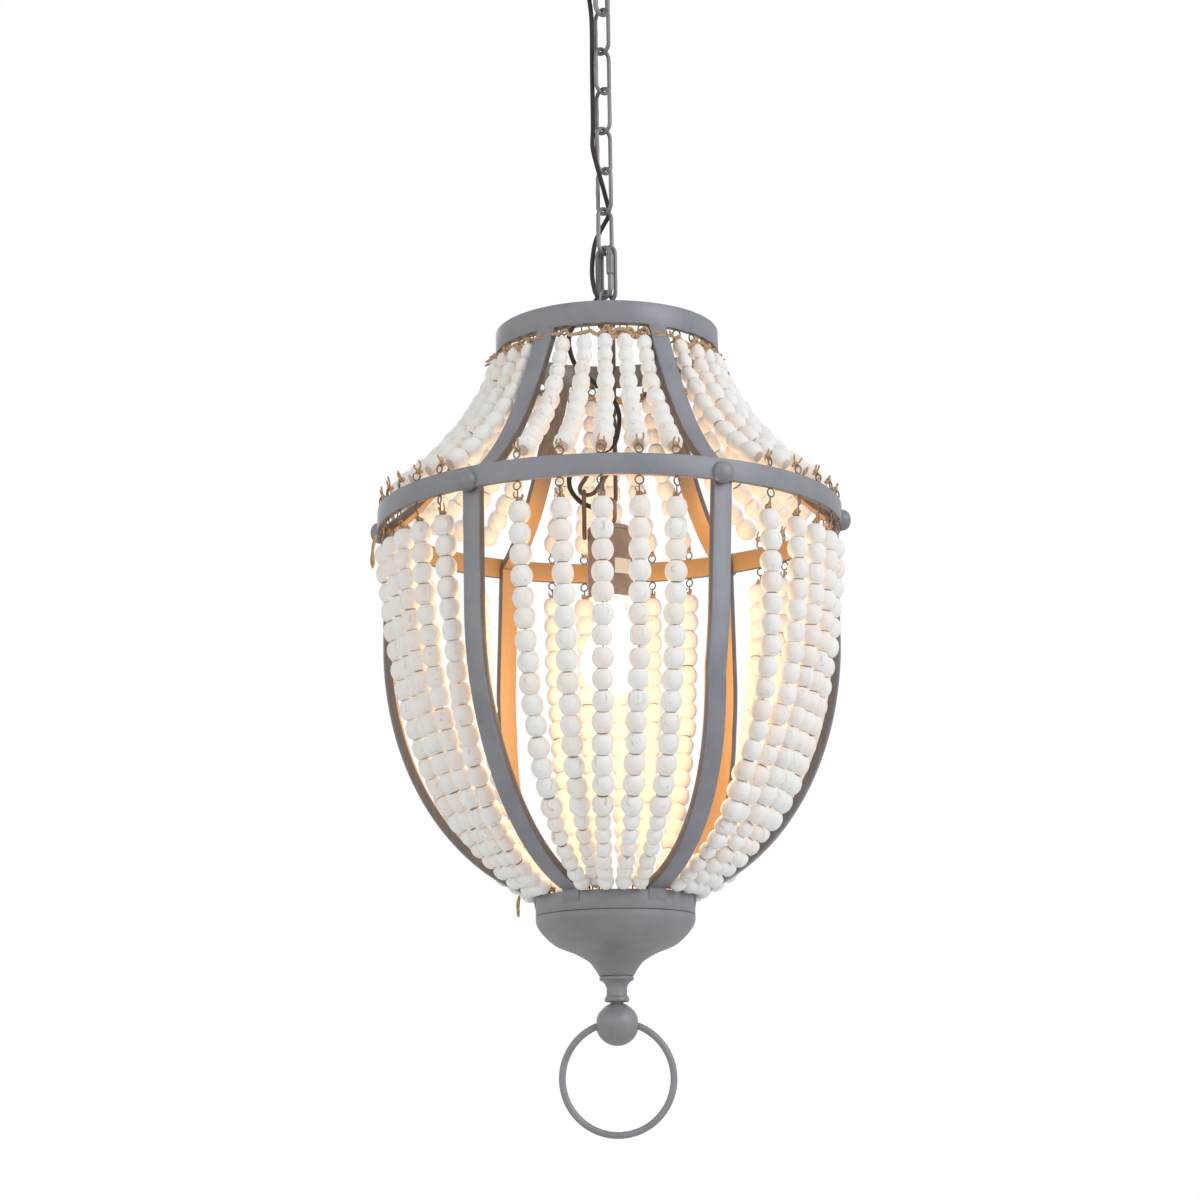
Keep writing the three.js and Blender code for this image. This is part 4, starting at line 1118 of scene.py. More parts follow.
    def rib(self, number: int) -> bpy.types.Object:
        """One rib: the flat bar's section carried down the centre line at the rib's azimuth.

        Args:
            number: which rib, from 1.

        Returns:
            The rib.
        """
        line = self.rib_line()
        belly = COLLAR_TOP + (BAND_TOP - COLLAR_TOP) * self.turn_share
        turns = np.interp(line[:, 1], [COLLAR_TOP, belly, BAND_TOP, HOOP_BOTTOM], self.rib_turns[number - 1])
        azimuth = FRONT_RIB_AZIMUTH + BAY_ANGLE * (number - 1) + turns
        slope = unit(np.gradient(line, axis=0))
        out = outward(azimuth)
        path = line[:, :1] * out + line[:, 1:] * UP
        normal = -slope[:, 1:] * out + slope[:, :1] * UP
        section = strap_section(self.rib_width, self.rib_depth, self.corner)
        section = section - np.array([0, (self.rib_depth - self.rib_thickness) / 2])
        strap = sweep(path, sideways(azimuth), normal, section)
        return build_mesh(f"rib_strap_{number}", [strap])

    def hanger(self) -> bpy.types.Object:
        """Hanger eye bolt: upper eye, washer, stem through the arch, six-sided nut and lower eye.

        Returns:
            The eye bolt.
        """
        upper = oval_wire(*self.eye, EYE_BAR, LINK_AZIMUTH)
        nut_top = ARCH_TOP - self.arch_thickness - GAP
        stem_end = nut_top - self.overlap
        radius, height = self.washer
        high = EYE_BAR - self.eye[2] + self.overlap
        flat, low = radius - self.washer_bevel, high - height
        stem = revolve(np.array([
            [0, stem_end], [self.eye_stem, stem_end], [self.eye_stem, low], [flat, low],
            [radius, low + self.bevel], [radius, high - self.washer_bevel], [flat, high], [0, high],
        ]), 32)
        radius, height = self.nut
        flat, low = radius - self.bevel, nut_top - height
        nut = revolve(np.array([
            [0, low], [flat, low], [radius, low + self.bevel],
            [radius, nut_top - self.bevel], [flat, nut_top], [0, nut_top],
        ]), 6)
        lower = oval_wire(*self.lower_eye, LOWER_EYE_CENTRE - self.lower_eye[0] / 2, LINK_AZIMUTH)
        return build_mesh("hanger_eye_bolt", [upper, stem, nut, lower])

    def build(self) -> None:
        """Makes and dresses the cage."""
        dress(self.hanger(), CHAIN_IRON, Slot.DARK_IRON, "lantern", "hanger_eye")
        dress(self.hoop(), IRON_WITH_PAINTED_LIGHT, Slot.GREY_IRON, "lantern", "top_hoop")
        dress(self.band(), IRON_WITH_PAINTED_LIGHT, Slot.GREY_IRON, "lantern", "middle_band")
        dress(self.bolts(), GREY_IRON, Slot.GREY_IRON, "lantern")
        for number in range(1, RIB_COUNT + 1):
            dress(self.rib(number), IRON_WITH_PAINTED_LIGHT, Slot.GREY_IRON, "lantern", f"rib_{number}")


@dataclass
class Cup:
    """Collar, bowl, neck, ball and pull ring under the cage."""

    collar_radius: float = 72.5
    collar_wall: float = 2.5
    collar_swell: float = 3.1
    collar_corner: float = 0.8
    bowl_radius: float = 75.8
    bowl_wall: float = 2.4
    foot_radius: float = 16.3
    floor: float = 8.0
    bowl_shares: tuple = (
        (0.275, 0.135), (0.34, 0.24), (0.51, 0.378), (0.76, 0.523), (0.933, 0.746), (0.99, 0.88),
    )
    lip: float = 0.6
    lining_start: float = 30.0
    lining_drop: float = 6.0
    neck_stem: tuple[float, float] = (6.2, 1.7)
    neck_ring: tuple = ((10.2, 0.0), (11.4, 0.5), (11.7, 2.2), (11.3, 4.0))
    neck_cove: tuple = ((10.7, 4.6), (9.8, 6.6), (9.6, 10.6), (9.8, 13.6), (10.9, 16.2))
    neck_flange: tuple = ((13.4, 4.6), (15.3, 4.2), (16.1, 3.3), (16.3, 2.2), (16.1, 1.0), (15.3, 0.0))
    ball_radius: float = 20.2
    bore_radius: float = 5.4
    mouth_bevel: tuple[float, float] = (0.2, 0.7)
    ring_radius: float = 52.2
    ring_wire: float = 3.25

    def collar(self) -> bpy.types.Object:
        """Rolled collar: a flat bar's section carried round the axis.

        Returns:
            The collar.
        """
        wall = self.collar_wall + self.collar_swell
        section = strap_section(wall, COLLAR_TOP - COLLAR_BOTTOM, self.collar_corner)
        outside = self.collar_radius + self.collar_swell
        middle = np.array([outside - wall / 2, (COLLAR_TOP + COLLAR_BOTTOM) / 2])
        return build_mesh("cup_ring", [revolve(section + middle, 120)])

    def bowl(self) -> bpy.types.Object:
        """Spun bowl: a smooth line through its ogee outside, the same line set in by the wall inside.

        Returns:
            The bowl.
        """
        depth = BOWL_TOP - BOWL_BOTTOM
        shares = np.array(self.bowl_shares)
        marks = np.stack([self.bowl_radius * shares[:, 0], BOWL_BOTTOM + depth * shares[:, 1]], -1)
        ends = np.array([[self.foot_radius, BOWL_BOTTOM], [self.bowl_radius, BOWL_TOP - self.lip]])
        outer = smooth_line(np.concatenate([ends[:1], marks, ends[1:]]), 64)
        inside = (outer[:, 0] > self.lining_start) & (outer[:, 1] < BOWL_TOP - self.lining_drop)
        inner = outer[inside][::-1] + np.array([-self.bowl_wall, self.bowl_wall])
        lip = [[self.bowl_radius - self.lip, BOWL_TOP], [self.collar_radius - self.collar_wall, BOWL_TOP]]
        floor = BOWL_BOTTOM + self.floor
        floor_line = [[self.foot_radius, floor], [0, floor]]
        profile = np.concatenate([[[0, BOWL_BOTTOM]], outer, lip, inner, floor_line])
        return build_mesh("cup_bowl_spun", [revolve(profile, 120)])

    def neck(self) -> bpy.types.Object:
        """Turned neck: flange, cove, waist, foot ring and the short stem on the ball.

        Returns:
            The neck.
        """
        stem, stem_height = self.neck_stem
        foot = NECK_BOTTOM + stem_height
        ring = [[radius, foot + rise] for radius, rise in self.neck_ring]
        flange = [[radius, NECK_TOP - drop] for radius, drop in self.neck_flange]
        cove = [[radius, foot + rise] for radius, rise in self.neck_cove]
        cove = smooth_line(np.array([*cove, flange[0]]), 24)
        start = [[0, NECK_BOTTOM], [stem, NECK_BOTTOM], [stem, foot]]
        profile = np.concatenate([start, ring, cove, flange[1:], [[0, NECK_TOP]]])
        return build_mesh("finial_spindle", [revolve(profile, 56)])

    def ball(self) -> bpy.types.Object:
        """Bored ball: a circle's arc from mouth to mouth of the bore, carried round the bore.

        Returns:
            The ball.
        """
        wider, deeper = self.mouth_bevel
        mouth = math.asin((self.bore_radius + wider) / self.ball_radius)
        angle = np.linspace(mouth, math.pi - mouth, 40)
        arc = self.ball_radius * np.stack([np.sin(angle), np.cos(angle)], -1)
        reach = math.sqrt(self.ball_radius**2 - self.bore_radius**2) - deeper
        profile = np.concatenate([arc, [[self.bore_radius, -reach], [self.bore_radius, reach]]])
        patch = revolve(profile, 56)
        bore_along_y = np.array([BACK, UP, [1.0, 0, 0]])
        patch.points = patch.points @ bore_along_y + BALL_CENTRE * UP
        return build_mesh("finial_sphere", [patch])

    def ring(self) -> bpy.types.Object:
        """Pull ring: round wire in a circle about the Y axis.

        Returns:
            The ring.
        """
        angle = np.arange(96) / 96 * FULL_TURN
        level = np.zeros_like(angle)
        out = np.stack([np.cos(angle), level, np.sin(angle)], -1)
        side = np.broadcast_to(BACK, out.shape)
        path = self.ring_radius * out + RING_CENTRE * UP
        wire = sweep(path, out, side, ring_section(self.ring_wire, 20), Edge.JOINED)
        return build_mesh("pull_ring", [wire])

    def build(self) -> None:
        """Makes and dresses the cup and the finial."""
        dress(self.collar(), CUP_IRON_PAINTED_LIGHTER, Slot.GREY_IRON, "lantern", "cup_collar")
        dress(self.bowl(), CUP_IRON_PAINTED_LIGHTER, Slot.GREY_IRON, "lantern", "cup_bowl")
        dress(self.neck(), CUP_IRON_PAINTED_LIGHTER, Slot.GREY_IRON, "lantern", "finial_neck")
        dress(self.ball(), CUP_IRON_PAINTED_LIGHTER, Slot.GREY_IRON, "lantern", "finial_ball")
        dress(self.ring(), CUP_IRON_PAINTED_LIGHTER, Slot.GREY_IRON, "ring", "finial_ring")


@dataclass
class Lamp:
    """Lamp chain, lampholder and the lit lamp inside the cage.

    A groove of the shell is given by its distance from the shell's end, its depth and its width.
    """

    link: tuple[float, float, float] = (18.4, 46.2, 2.1)
    weld: float = 0.14
    bite: float = 0.9
    hanging_bite: float = 0.3
    spare_end: tuple[float, float] = (-24.5, -10.0)
    spare_drop: float = 34.0
    slant_twist: float = 50.0
    cap_loop: tuple[float, float, float] = (15.0, 26.0, 2.1)
    cap_shares: tuple = ((1.0, 0.45), (0.9, 0.85), (0.7, 1.0))
    cap_edge: float = 0.4
    cap_flat: float = 6.5
    shell_edge: float = 0.5
    upper_groove: tuple[float, float, float] = (9.0, 0.5, 0.9)
    lower_groove: tuple[float, float, float] = (4.0, 0.35, 0.8)
    card_width: float = 15.0
    card_thickness: float = 0.2
    card_rise: float = 0.12
    card_span: tuple[float, float] = (12.0, 64.0)
    card_drop: float = 4.0
    neck_pull: tuple[float, float] = (-9.5, 16.5)
    throat_drop: float = 26.0
    thread_pitch: float = 3.6
    thread_depth: float = 0.45
    thread_play: float = 0.5
    globe_end: float = 30.0
    light_power: float = 1.15
    light_tint: tuple[float, float, float] = (1.0, 0.54, 0.17)
    light_radius: float = 28.0
    shell_radius: float = 21.8
    shell_wall: float = 1.8
    skirt: float = 22.0
    socket_radius: float = 13.6
    socket_depth: float = 22.0
    bulb_radius: float = 30.0
    bulb_length: float = 138.0

    def chain(self) -> bpy.types.Object:
        """Four links on the axis, a slanted one from the last one's shoulder, and one hanging from it.

        Returns:
            The lamp chain.
        """
        width, height, wire = self.link
        patches = [
            oval_wire(*self.link, bar, LINK_AZIMUTH if number % 2 else -LINK_AZIMUTH, weld=self.weld)
            for number, bar in enumerate(LAMP_BARS)
        ]
        fused = 2 * wire - self.bite
        reach = (width / 2 - fused) * math.sqrt(0.5)
        azimuth = math.radians(LINK_AZIMUTH)
        shoulder = LAMP_BARS[3] + height - width / 2 + reach
        start = np.array([-reach * math.cos(azimuth), -reach * math.sin(azimuth), shoulder])
        end = np.array([*self.spare_end, start[2] - self.spare_drop])
        down = unit(start - end)
        across = unit(np.cross(UP, down))
        axes = np.stack([across, np.cross(down, across), down])
        slant = oval_wire(width, float(np.linalg.norm(start - end)), wire, 0.0, self.slant_twist)
        slant.points = slant.points @ axes + end
        hanging = oval_wire(*self.link, end[2] + fused - self.hanging_bite - height, 90.0)
        hanging.points = hanging.points + np.array([end[0], end[1], 0])
        return build_mesh("lamp_chain_links", [*patches, slant, hanging])

    def cap(self) -> bpy.types.Object:
        """Domed cap with its loop.

        Returns:
            The cap.
        """
        radius, high = self.shell_radius, CAP_TOP - CAP_BOTTOM
        dome = [[radius * out, CAP_BOTTOM + high * rise] for out, rise in self.cap_shares]
        marks = np.array([[radius, CAP_BOTTOM + self.cap_edge], *dome, [self.cap_flat, CAP_TOP]])
        floor = [[0, CAP_BOTTOM], [radius - self.cap_edge, CAP_BOTTOM]]
        profile = np.concatenate([floor, smooth_line(marks, 24), [[0, CAP_TOP]]])
        loop = oval_wire(*self.cap_loop, CAP_LOOP_TOP - self.cap_loop[1], -LINK_AZIMUTH)
        return build_mesh("lampholder_dome", [revolve(profile, 56), loop])

    def shell(self) -> bpy.types.Object:
        """Lampholder shell: a grooved tube, a skirt below and the socket bored up inside.

        Returns:
            The shell.
        """
        radius, inner = self.shell_radius, self.shell_radius - self.shell_wall
        skirt_top = SHELL_BOTTOM + self.skirt
        socket_top = skirt_top + self.socket_depth
        level = np.linspace(SHELL_BOTTOM + 0.6, SHELL_TOP - 0.6, 90)
        grooves = 0.0
        ends = ((SHELL_TOP - level, self.upper_groove), (level - SHELL_BOTTOM, self.lower_groove))
        for from_end, groove in ends:
            away, depth, width = groove
            grooves = grooves + depth * np.exp(-(((from_end - away) / width) ** 2))
        rim = radius - self.shell_edge
        wall = np.stack([radius - grooves, level], -1)
        socket = [[0, socket_top], [self.socket_radius, socket_top], [self.socket_radius, skirt_top]]
        skirt = [[inner, skirt_top], [inner, SHELL_BOTTOM], [rim, SHELL_BOTTOM]]
        profile = np.concatenate([socket, skirt, wall, [[rim, SHELL_TOP], [0, SHELL_TOP]]])
        return build_mesh("lampholder_tube", [revolve(profile, 64)])

    def card(self) -> bpy.types.Object:
        """Blank card wrapped on the shell: a thin curved strip, bare of words.

        Returns:
            The card.
        """
        azimuth = np.linspace(*self.card_span, 20)
        middle = (SHELL_TOP + SHELL_BOTTOM) / 2 - self.card_drop
        path = (self.shell_radius + self.card_rise) * outward(azimuth) + middle * UP
        side = np.broadcast_to(UP, path.shape)
        section = strap_section(self.card_width, self.card_thickness, self.card_thickness / 4, 2)
        return build_mesh("blank_card", [sweep(path, side, outward(azimuth), section)])

    def bulb(self) -> bpy.types.Object:
        """Lamp: a globe that draws in to its neck, and the screw base up in the socket.

        Returns:
            The lamp.
        """
        top = SHELL_BOTTOM + self.skirt + self.socket_depth - GAP
        bottom = top - self.bulb_length
        globe = bottom + self.bulb_radius
        angle = np.linspace(-math.pi / 2, math.radians(self.globe_end), 40)
        body = self.bulb_radius * np.stack([np.cos(angle), np.sin(angle)], -1) + [0, globe]
        base = self.socket_radius - 2 * GAP
        throat = SHELL_BOTTOM + self.skirt / 2
        pull = body[-1] + self.neck_pull
        marks = np.array([body[-1], pull, [base, throat - self.throat_drop], [base, throat]])
        shoulder = bezier(marks, 24)[1:]
        level = np.linspace(throat + 1, top - 1, 60)
        wave = self.thread_depth * np.cos(level * FULL_TURN / self.thread_pitch)
        thread = np.stack([base - self.thread_play - wave, level], -1)
        profile = np.concatenate([body, shoulder, thread, [[base - 1, top], [0, top]]])
        profile[0, 0] = 0
        return build_mesh("lamp_bulb", [revolve(profile, 56)])

    def light(self) -> None:
        """Warm lamp inside the bulb, so that the cage is lit from within as by a real one."""
        made = bpy.data.lights.new("bulb_light", "POINT")
        made.energy = self.light_power
        made.color = self.light_tint
        made.shadow_soft_size = self.light_radius * MM
        lamp = bpy.data.objects.new("bulb_light", made)
        top = SHELL_BOTTOM + self.skirt + self.socket_depth
        lamp.location = (0, 0, (top - self.bulb_length + self.bulb_radius) * MM)
        bpy.context.scene.collection.objects.link(lamp)

    def build(self) -> None:
        """Makes and dresses the lamp's pieces."""
        dress(self.chain(), RUSTY_IRON, Slot.DARK_IRON, "lamp", "lamp_chain")
        dress(self.cap(), BROWN_SHELL, Slot.LAMPHOLDER, "lamp", "lampholder_cap")
        dress(self.shell(), BROWN_SHELL, Slot.LAMPHOLDER, "lamp", "lampholder_shell")
        dress(self.card(), BLANK_CARD, Slot.LAMPHOLDER, "lamp")
        bulb = dress(self.bulb(), LIT_GLASS, Slot.BULB, "lamp", "bulb")
        bulb.visible_shadow = False
        self.light()


@dataclass
class Strands:
    """Thirty strings of beads, with the wire eyes and the twine that lace them to the frame."""

    per_bay: int = 5
    large: float = 19.6
    small: float = 15.2
    spacing: float = 0.1
    flat_share: float = 0.97
    upper_small: int = 3
    lower_small: int = 6
    upper_lead: float = 12.5
    upper_tail: float = 10.0
    lower_lead: float = 18.5
    lower_tail: float = 6.5
    tuck: float = 13.0
    tuck_rise: float = 5.0
    string_radius: float = 0.9
    top_shares: tuple = (-0.625, -0.257, 0.07, 0.385, 0.706)
    band_shares: tuple = (-0.625, -0.28, 0.04, 0.335, 0.63)
    rim_shares: tuple = (-0.64, -0.38, -0.12, 0.28, 0.64)
    tuck_shares: tuple = (0, 1, 0, 0, 0)
    turned_bays: tuple = (1, 5)
    band_turns: tuple = ((3.2, 3.2, 3.4, 3.5, 3.5), (2.0, 1.0, 0.0, 0.0, 0.0))
    belly_turns: tuple = ((3.0, 3.2, 0.8, 0.0, 0.0), (4.6, 3.0, 1.5, 0.5, 0.8))
    rim_turns: tuple = ((7.0, 6.0, 3.0, 1.0, 0.0), (6.0, 3.0, -2.0, -7.0, -12.0))
    upper_pulls: tuple = ((0.1, 0.32), (0.42, 0.7))
    lower_pulls: tuple = ((0.01, 0.43), (0.26, 0.87))
    band_share: float = 0.3
    hoop_seat: float = 108.0
    behind_band: float = 219.656
    rim_radius: float = 71.25
    eye_radius: float = 3.9
    eye_wire: float = 0.75
    eye_tip: float = 28.0
    twine_radius: float = 1.6
    twine_lean: tuple[float, float, float] = (0.13, 0.29, 0.95)
    runs: int = 4
    run_step: float = 1.5
    run_play: float = 3.5
    run_depth: float = 7.0
    run_turns: tuple = (-3.4, 0.4, 3.4)
    run_drops: tuple = (12.5, 7.0, 13.0)
    tail_starts: tuple = ((0, -2.0, -12.0), (0, -1.0, -6.0), (-1, 2.0, 8.0), (2, 0.0, 4.0))
    knot_turns: float = 1.6
    knot_size: tuple[float, float, float] = (2.1, 1.9, 1.8)
    knot_leans: tuple = ((-6.0, -1.0), (1.0, 6.0))
    knot_reaches: tuple[float, float] = (0.45, 1.15)
    knot_curls: tuple[float, float] = (0.1, 1.3)
    bundle: int = 4
    bundle_step: float = 1.2
    bundle_shares: tuple = (0.0, 0.4, 0.8, 1.0)
    bundle_outs: tuple = (0.0, 2.0, 2.6, 2.2)
    loose_bundles: tuple = ((-86.0, 227.656, BAND_BOTTOM - 2, 33.0), (-87.0, 90.25, COLLAR_TOP + 2, 20.0))
    left_azimuths: tuple = (-74.0, -84.0, -89.0)
    left_radii: tuple = (109.0, 113.0, 116.0)
    left_rises: tuple = (0.0, 2.0, 4.0)
    bead_tilts: tuple = (25, 27, 40, 57, 74, 90, 106, 123, 140, 153, 155)
    plump: float = 1.045
    fullness: float = 0.75
    size_play: tuple[float, float] = (0.975, 1.025)
    bead_share: float = 0.985
    sway: float = 0.35
    swell_marks: tuple = ((0, 2, 3, 8), (0.93, 0.97, 0.86, 1.0))
    free_tilts: tuple = (5, 17)
    seed: int = 11

    def __post_init__(self) -> None:
        """Starts the source of the small differences."""
        self.random = np.random.default_rng(self.seed)

    def curves(self, tucked: float) -> tuple[np.ndarray, np.ndarray]:
        """Side view of a strand's two stretches, each a cubic Bezier in (radius, height).

        Args:
            tucked: 1 where the strand's foot is set in behind its neighbours.

        Returns:
            The upper and the lower stretch as fine lines.
        """
        span = self.behind_band - self.hoop_seat
        drop = HOOP_BOTTOM - BAND_TOP
        pulls = [[self.hoop_seat + span * out, HOOP_BOTTOM - drop * down] for out, down in self.upper_pulls]
        foot = [self.behind_band, BAND_TOP + (BAND_TOP - BAND_BOTTOM) * self.band_share]
        upper = bezier(np.array([[self.hoop_seat, HOOP_BOTTOM - GAP], *pulls, foot]), 400)
        rim = self.rim_radius - tucked * self.tuck
        rim_height = COLLAR_TOP + GAP + tucked * self.tuck_rise
        fall, belly = BAND_BOTTOM - rim_height, self.behind_band - rim
        pulls = [[self.behind_band - belly * x, BAND_BOTTOM - fall * down] for x, down in self.lower_pulls]
        lower = bezier(np.array([[self.behind_band, BAND_BOTTOM - GAP], *pulls, [rim, rim_height]]), 600)
        return upper, lower

    def row(self, length: float, smalls: int) -> tuple[np.ndarray, np.ndarray]:
        """Bead diameters and lengths along a stretch, small ones first, then as many large ones as fit.

        Args:
            length: length that the beads fill.
            smalls: number of small beads.

        Returns:
            Diameters and lengths.
        """
        small = self.small * self.flat_share + self.spacing
        large = self.large * self.flat_share + self.spacing
        count = max(1, int((length - smalls * small) // large))
        stretch = length / (smalls * small + count * large)
        sizes = np.concatenate([np.full(smalls, self.small), np.full(count, self.large)])
        lengths = np.concatenate([np.full(smalls, small), np.full(count, large)]) * stretch
        return sizes, lengths

    def azimuths(self, bay: int, strand: int) -> tuple[float, float, float]:
        """Azimuths of a strand at hoop, band and rim: the bay's middle, a share of its half and a turn.

        Args:
            bay: bay between two ribs, from 0.
            strand: place in the bay, from 0.

        Returns:
            Three azimuths in degrees.
        """
        centre = FRONT_RIB_AZIMUTH + BAY_ANGLE * (bay + 0.5)
        shares = (self.top_shares[strand], self.band_shares[strand], self.rim_shares[strand])
        turns = (0.0, self.turn(self.band_turns, bay, strand), self.turn(self.rim_turns, bay, strand))
        return tuple(centre + BAY_ANGLE / 2 * share + turn for share, turn in zip(shares, turns))

    def turn(self, table: tuple, bay: int, strand: int) -> float:
        """Degrees that a strand is pushed aside, 0 in a bay where they hang evenly."""
        return table[self.turned_bays.index(bay)][strand] if bay in self.turned_bays else 0.0

    def beads(self, centres: np.ndarray, along: np.ndarray, azimuth: np.ndarray, sizes: np.ndarray,
              lengths: np.ndarray) -> Patch:
        """Turned beads: at angle t the radius is R sin(t)^fullness and the place cos(t) of half the length.

        Args:
            centres: bead centres.
            along: unit directions of the hole.
            azimuth: azimuths of the beads in degrees.
            sizes: diameters.
            lengths: lengths along the string.

        Returns:
            One patch, a copy for each bead.
        """
        count, sides = len(centres), 12
        tilt = np.tile(np.radians(self.bead_tilts), (count, 1))
        flat = math.cos(tilt[0, 0])
        tilt[0, :2] = np.radians(self.free_tilts)
        tilt[-1, -2:] = math.pi - np.radians(self.free_tilts)[::-1]
        belly = np.sin(tilt) ** self.fullness
        rise = np.cos(tilt) / flat
        face = unit(np.cross(sideways(azimuth), along))
        tangent = np.cross(along, face)
        turn = self.random.uniform(0, FULL_TURN / sides, count)
        angle = np.arange(sides) / sides * FULL_TURN + turn[:, None]
        spread = sizes / 2 * self.plump * self.random.uniform(*self.size_play, count)
        ring = np.cos(angle)[..., None] * face[:, None] + np.sin(angle)[..., None] * tangent[:, None]
        body = belly[:, :, None, None] * spread[:, None, None, None] * ring[:, None]
        half = lengths / 2 * self.bead_share
        height = rise[:, :, None, None] * half[:, None, None, None] * along[:, None, None]
        sway = self.random.normal(0, self.sway, (count, 3))
        points = (centres + sway)[:, None, None] + body + height
        # rim is 1 on the end rings where two beads meet; the bead material paints shade there
        rim = np.zeros(tilt.shape)
        rim[1:, 0] = rim[:-1, -1] = 1.0
        return Patch(points, Edge.CAPPED, self.random.uniform(0, 1, count), rim)

    def strand(self, bay: int, strand: int) -> bpy.types.Object:
        """One strand: both stretches of beads and the string that shows at their ends.

        Args:
            bay: bay between two ribs, from 0.
            strand: place in the bay, from 0.

        Returns:
            The strand.
        """
        upper, lower = self.curves(self.tuck_shares[strand])
        top, middle, rim = self.azimuths(bay, strand)
        patches = []
        stretches = (
            (upper, self.upper_lead, self.upper_tail, self.upper_small, top, middle, False),
            (lower, self.lower_lead, self.lower_tail, self.lower_small, middle, rim, True),
        )
        for line, lead, tail, smalls, first, last, upside_down in stretches:
            whole = line_length(line)
            sizes, lengths = self.row(whole - lead - tail, smalls)
            if upside_down:
                sizes, lengths = sizes[::-1], lengths[::-1]
                bulge = self.turn(self.belly_turns, bay, strand)
            else:
                sizes = sizes * np.interp(np.arange(len(sizes)), *self.swell_marks)
                bulge = 0.0
            marks = np.linspace(0, whole, 240)
            turned = first + (last - first) * (marks / whole) ** 3 + bulge * np.sin(math.pi * marks / whole)
            fine = along_line(line, marks)[0]
            path = fine[:, :1] * outward(turned) + fine[:, 1:] * UP
            places = (lead + np.cumsum(lengths) - lengths / 2) / whole * line_length(path)
            centres, along = along_line(path, places)
            azimuth = np.degrees(np.arctan2(centres[:, 0], -centres[:, 1]))
            patches.append(self.beads(centres, along, azimuth, sizes, lengths))
            inside = (marks > lead) & (marks < whole - tail)
            patches.append(tube(path[inside][::4], self.string_radius, 5, tuple(sideways(first))))
        return build_mesh(f"beads_{bay + 1}_{strand + 1}", patches)

    def eye(self, azimuth: float, radius: float, height: float, tip: float) -> Patch:
        """Small wire eye facing outwards: radius times (cos, sin) of the side and the upward direction.

        Args:
            azimuth: azimuth in degrees.
            radius: distance of its centre from the axis.
            height: height of its centre.
            tip: degrees that it is turned off square.

        Returns:
            The patch.
        """
        angle = np.arange(14) / 14 * FULL_TURN
        out = outward(azimuth)
        side = sideways(azimuth) * math.cos(math.radians(tip)) + out * math.sin(math.radians(tip))
        ring = np.cos(angle)[:, None] * side + np.sin(angle)[:, None] * UP
        normal = np.broadcast_to(np.cross(side, UP), ring.shape)
        path = self.eye_radius * ring + out * radius + height * UP
        return sweep(path, ring, normal, ring_section(self.eye_wire, 5), Edge.JOINED)

    def shank(self, azimuth: float, radius: float, height: float, lead: float) -> Patch:
        """Straight wire from the eye under the iron down into the first bead.

        Args:
            azimuth: azimuth in degrees.
            radius: distance from the axis.
            height: height of the iron's lower edge.
            lead: distance from there to the first bead.

        Returns:
            The patch.
        """
        low, high = lead + 1, 2 * (self.eye_radius + self.eye_wire) - 1
        path = outward(azimuth) * radius + np.array([[height - low], [height - high]]) * UP
        return tube(path, self.eye_wire, 5)

    def eyes(self) -> bpy.types.Object:
        """Wire eyes at the hoop, on and under the band, and at the cup's rim.

        Returns:
            The eyes, in one piece.
        """
        patches = []
        reach = self.eye_radius + self.eye_wire
        for bay in range(RIB_COUNT):
            for strand in range(self.per_bay):
                top, middle, rim = self.azimuths(bay, strand)
                tips = self.random.uniform(-self.eye_tip, self.eye_tip, 4)
                at_hoop, at_band = self.hoop_seat + 1.0, self.behind_band + 3.0
                patches += [
                    self.eye(top, self.hoop_seat, HOOP_BOTTOM - reach, tips[0]),
                    self.eye(middle, at_band + 1.0, BAND_TOP + reach, tips[1]),
                    self.eye(middle, at_band + 1.0, BAND_BOTTOM - reach, tips[2]),
                    self.shank(middle, at_band, BAND_BOTTOM, self.lower_lead),
                    self.shank(top, at_hoop, HOOP_BOTTOM, self.upper_lead),
                    self.eye(rim, self.rim_radius, COLLAR_TOP + 2.0, tips[3]),
                ]
        return build_mesh("wire_eyes", patches)

    def twine_run(self, marks: np.ndarray, count: int, loose: float, thin: float = 1.0) -> Patch:
        """Twine through some marks: a smooth line with a little unevenness, its tube thinner at both ends.

        Args:
            marks: points that it passes.
            count: rings of the tube.
            loose: how uneven, in millimetres.
            thin: share of the twine's radius.

        Returns:
            The patch.
        """
        line = smooth_line(marks + self.random.normal(0, loose, marks.shape), count)
        share = np.linspace(0, 1, count)
        uneven = 0.85 + 0.25 * self.random.random(count)
        swell = uneven - 0.45 * np.exp(-share * 14) - 0.45 * np.exp((share - 1) * 14)
        return tube(line, self.twine_radius * thin, 6, self.twine_lean, swell)

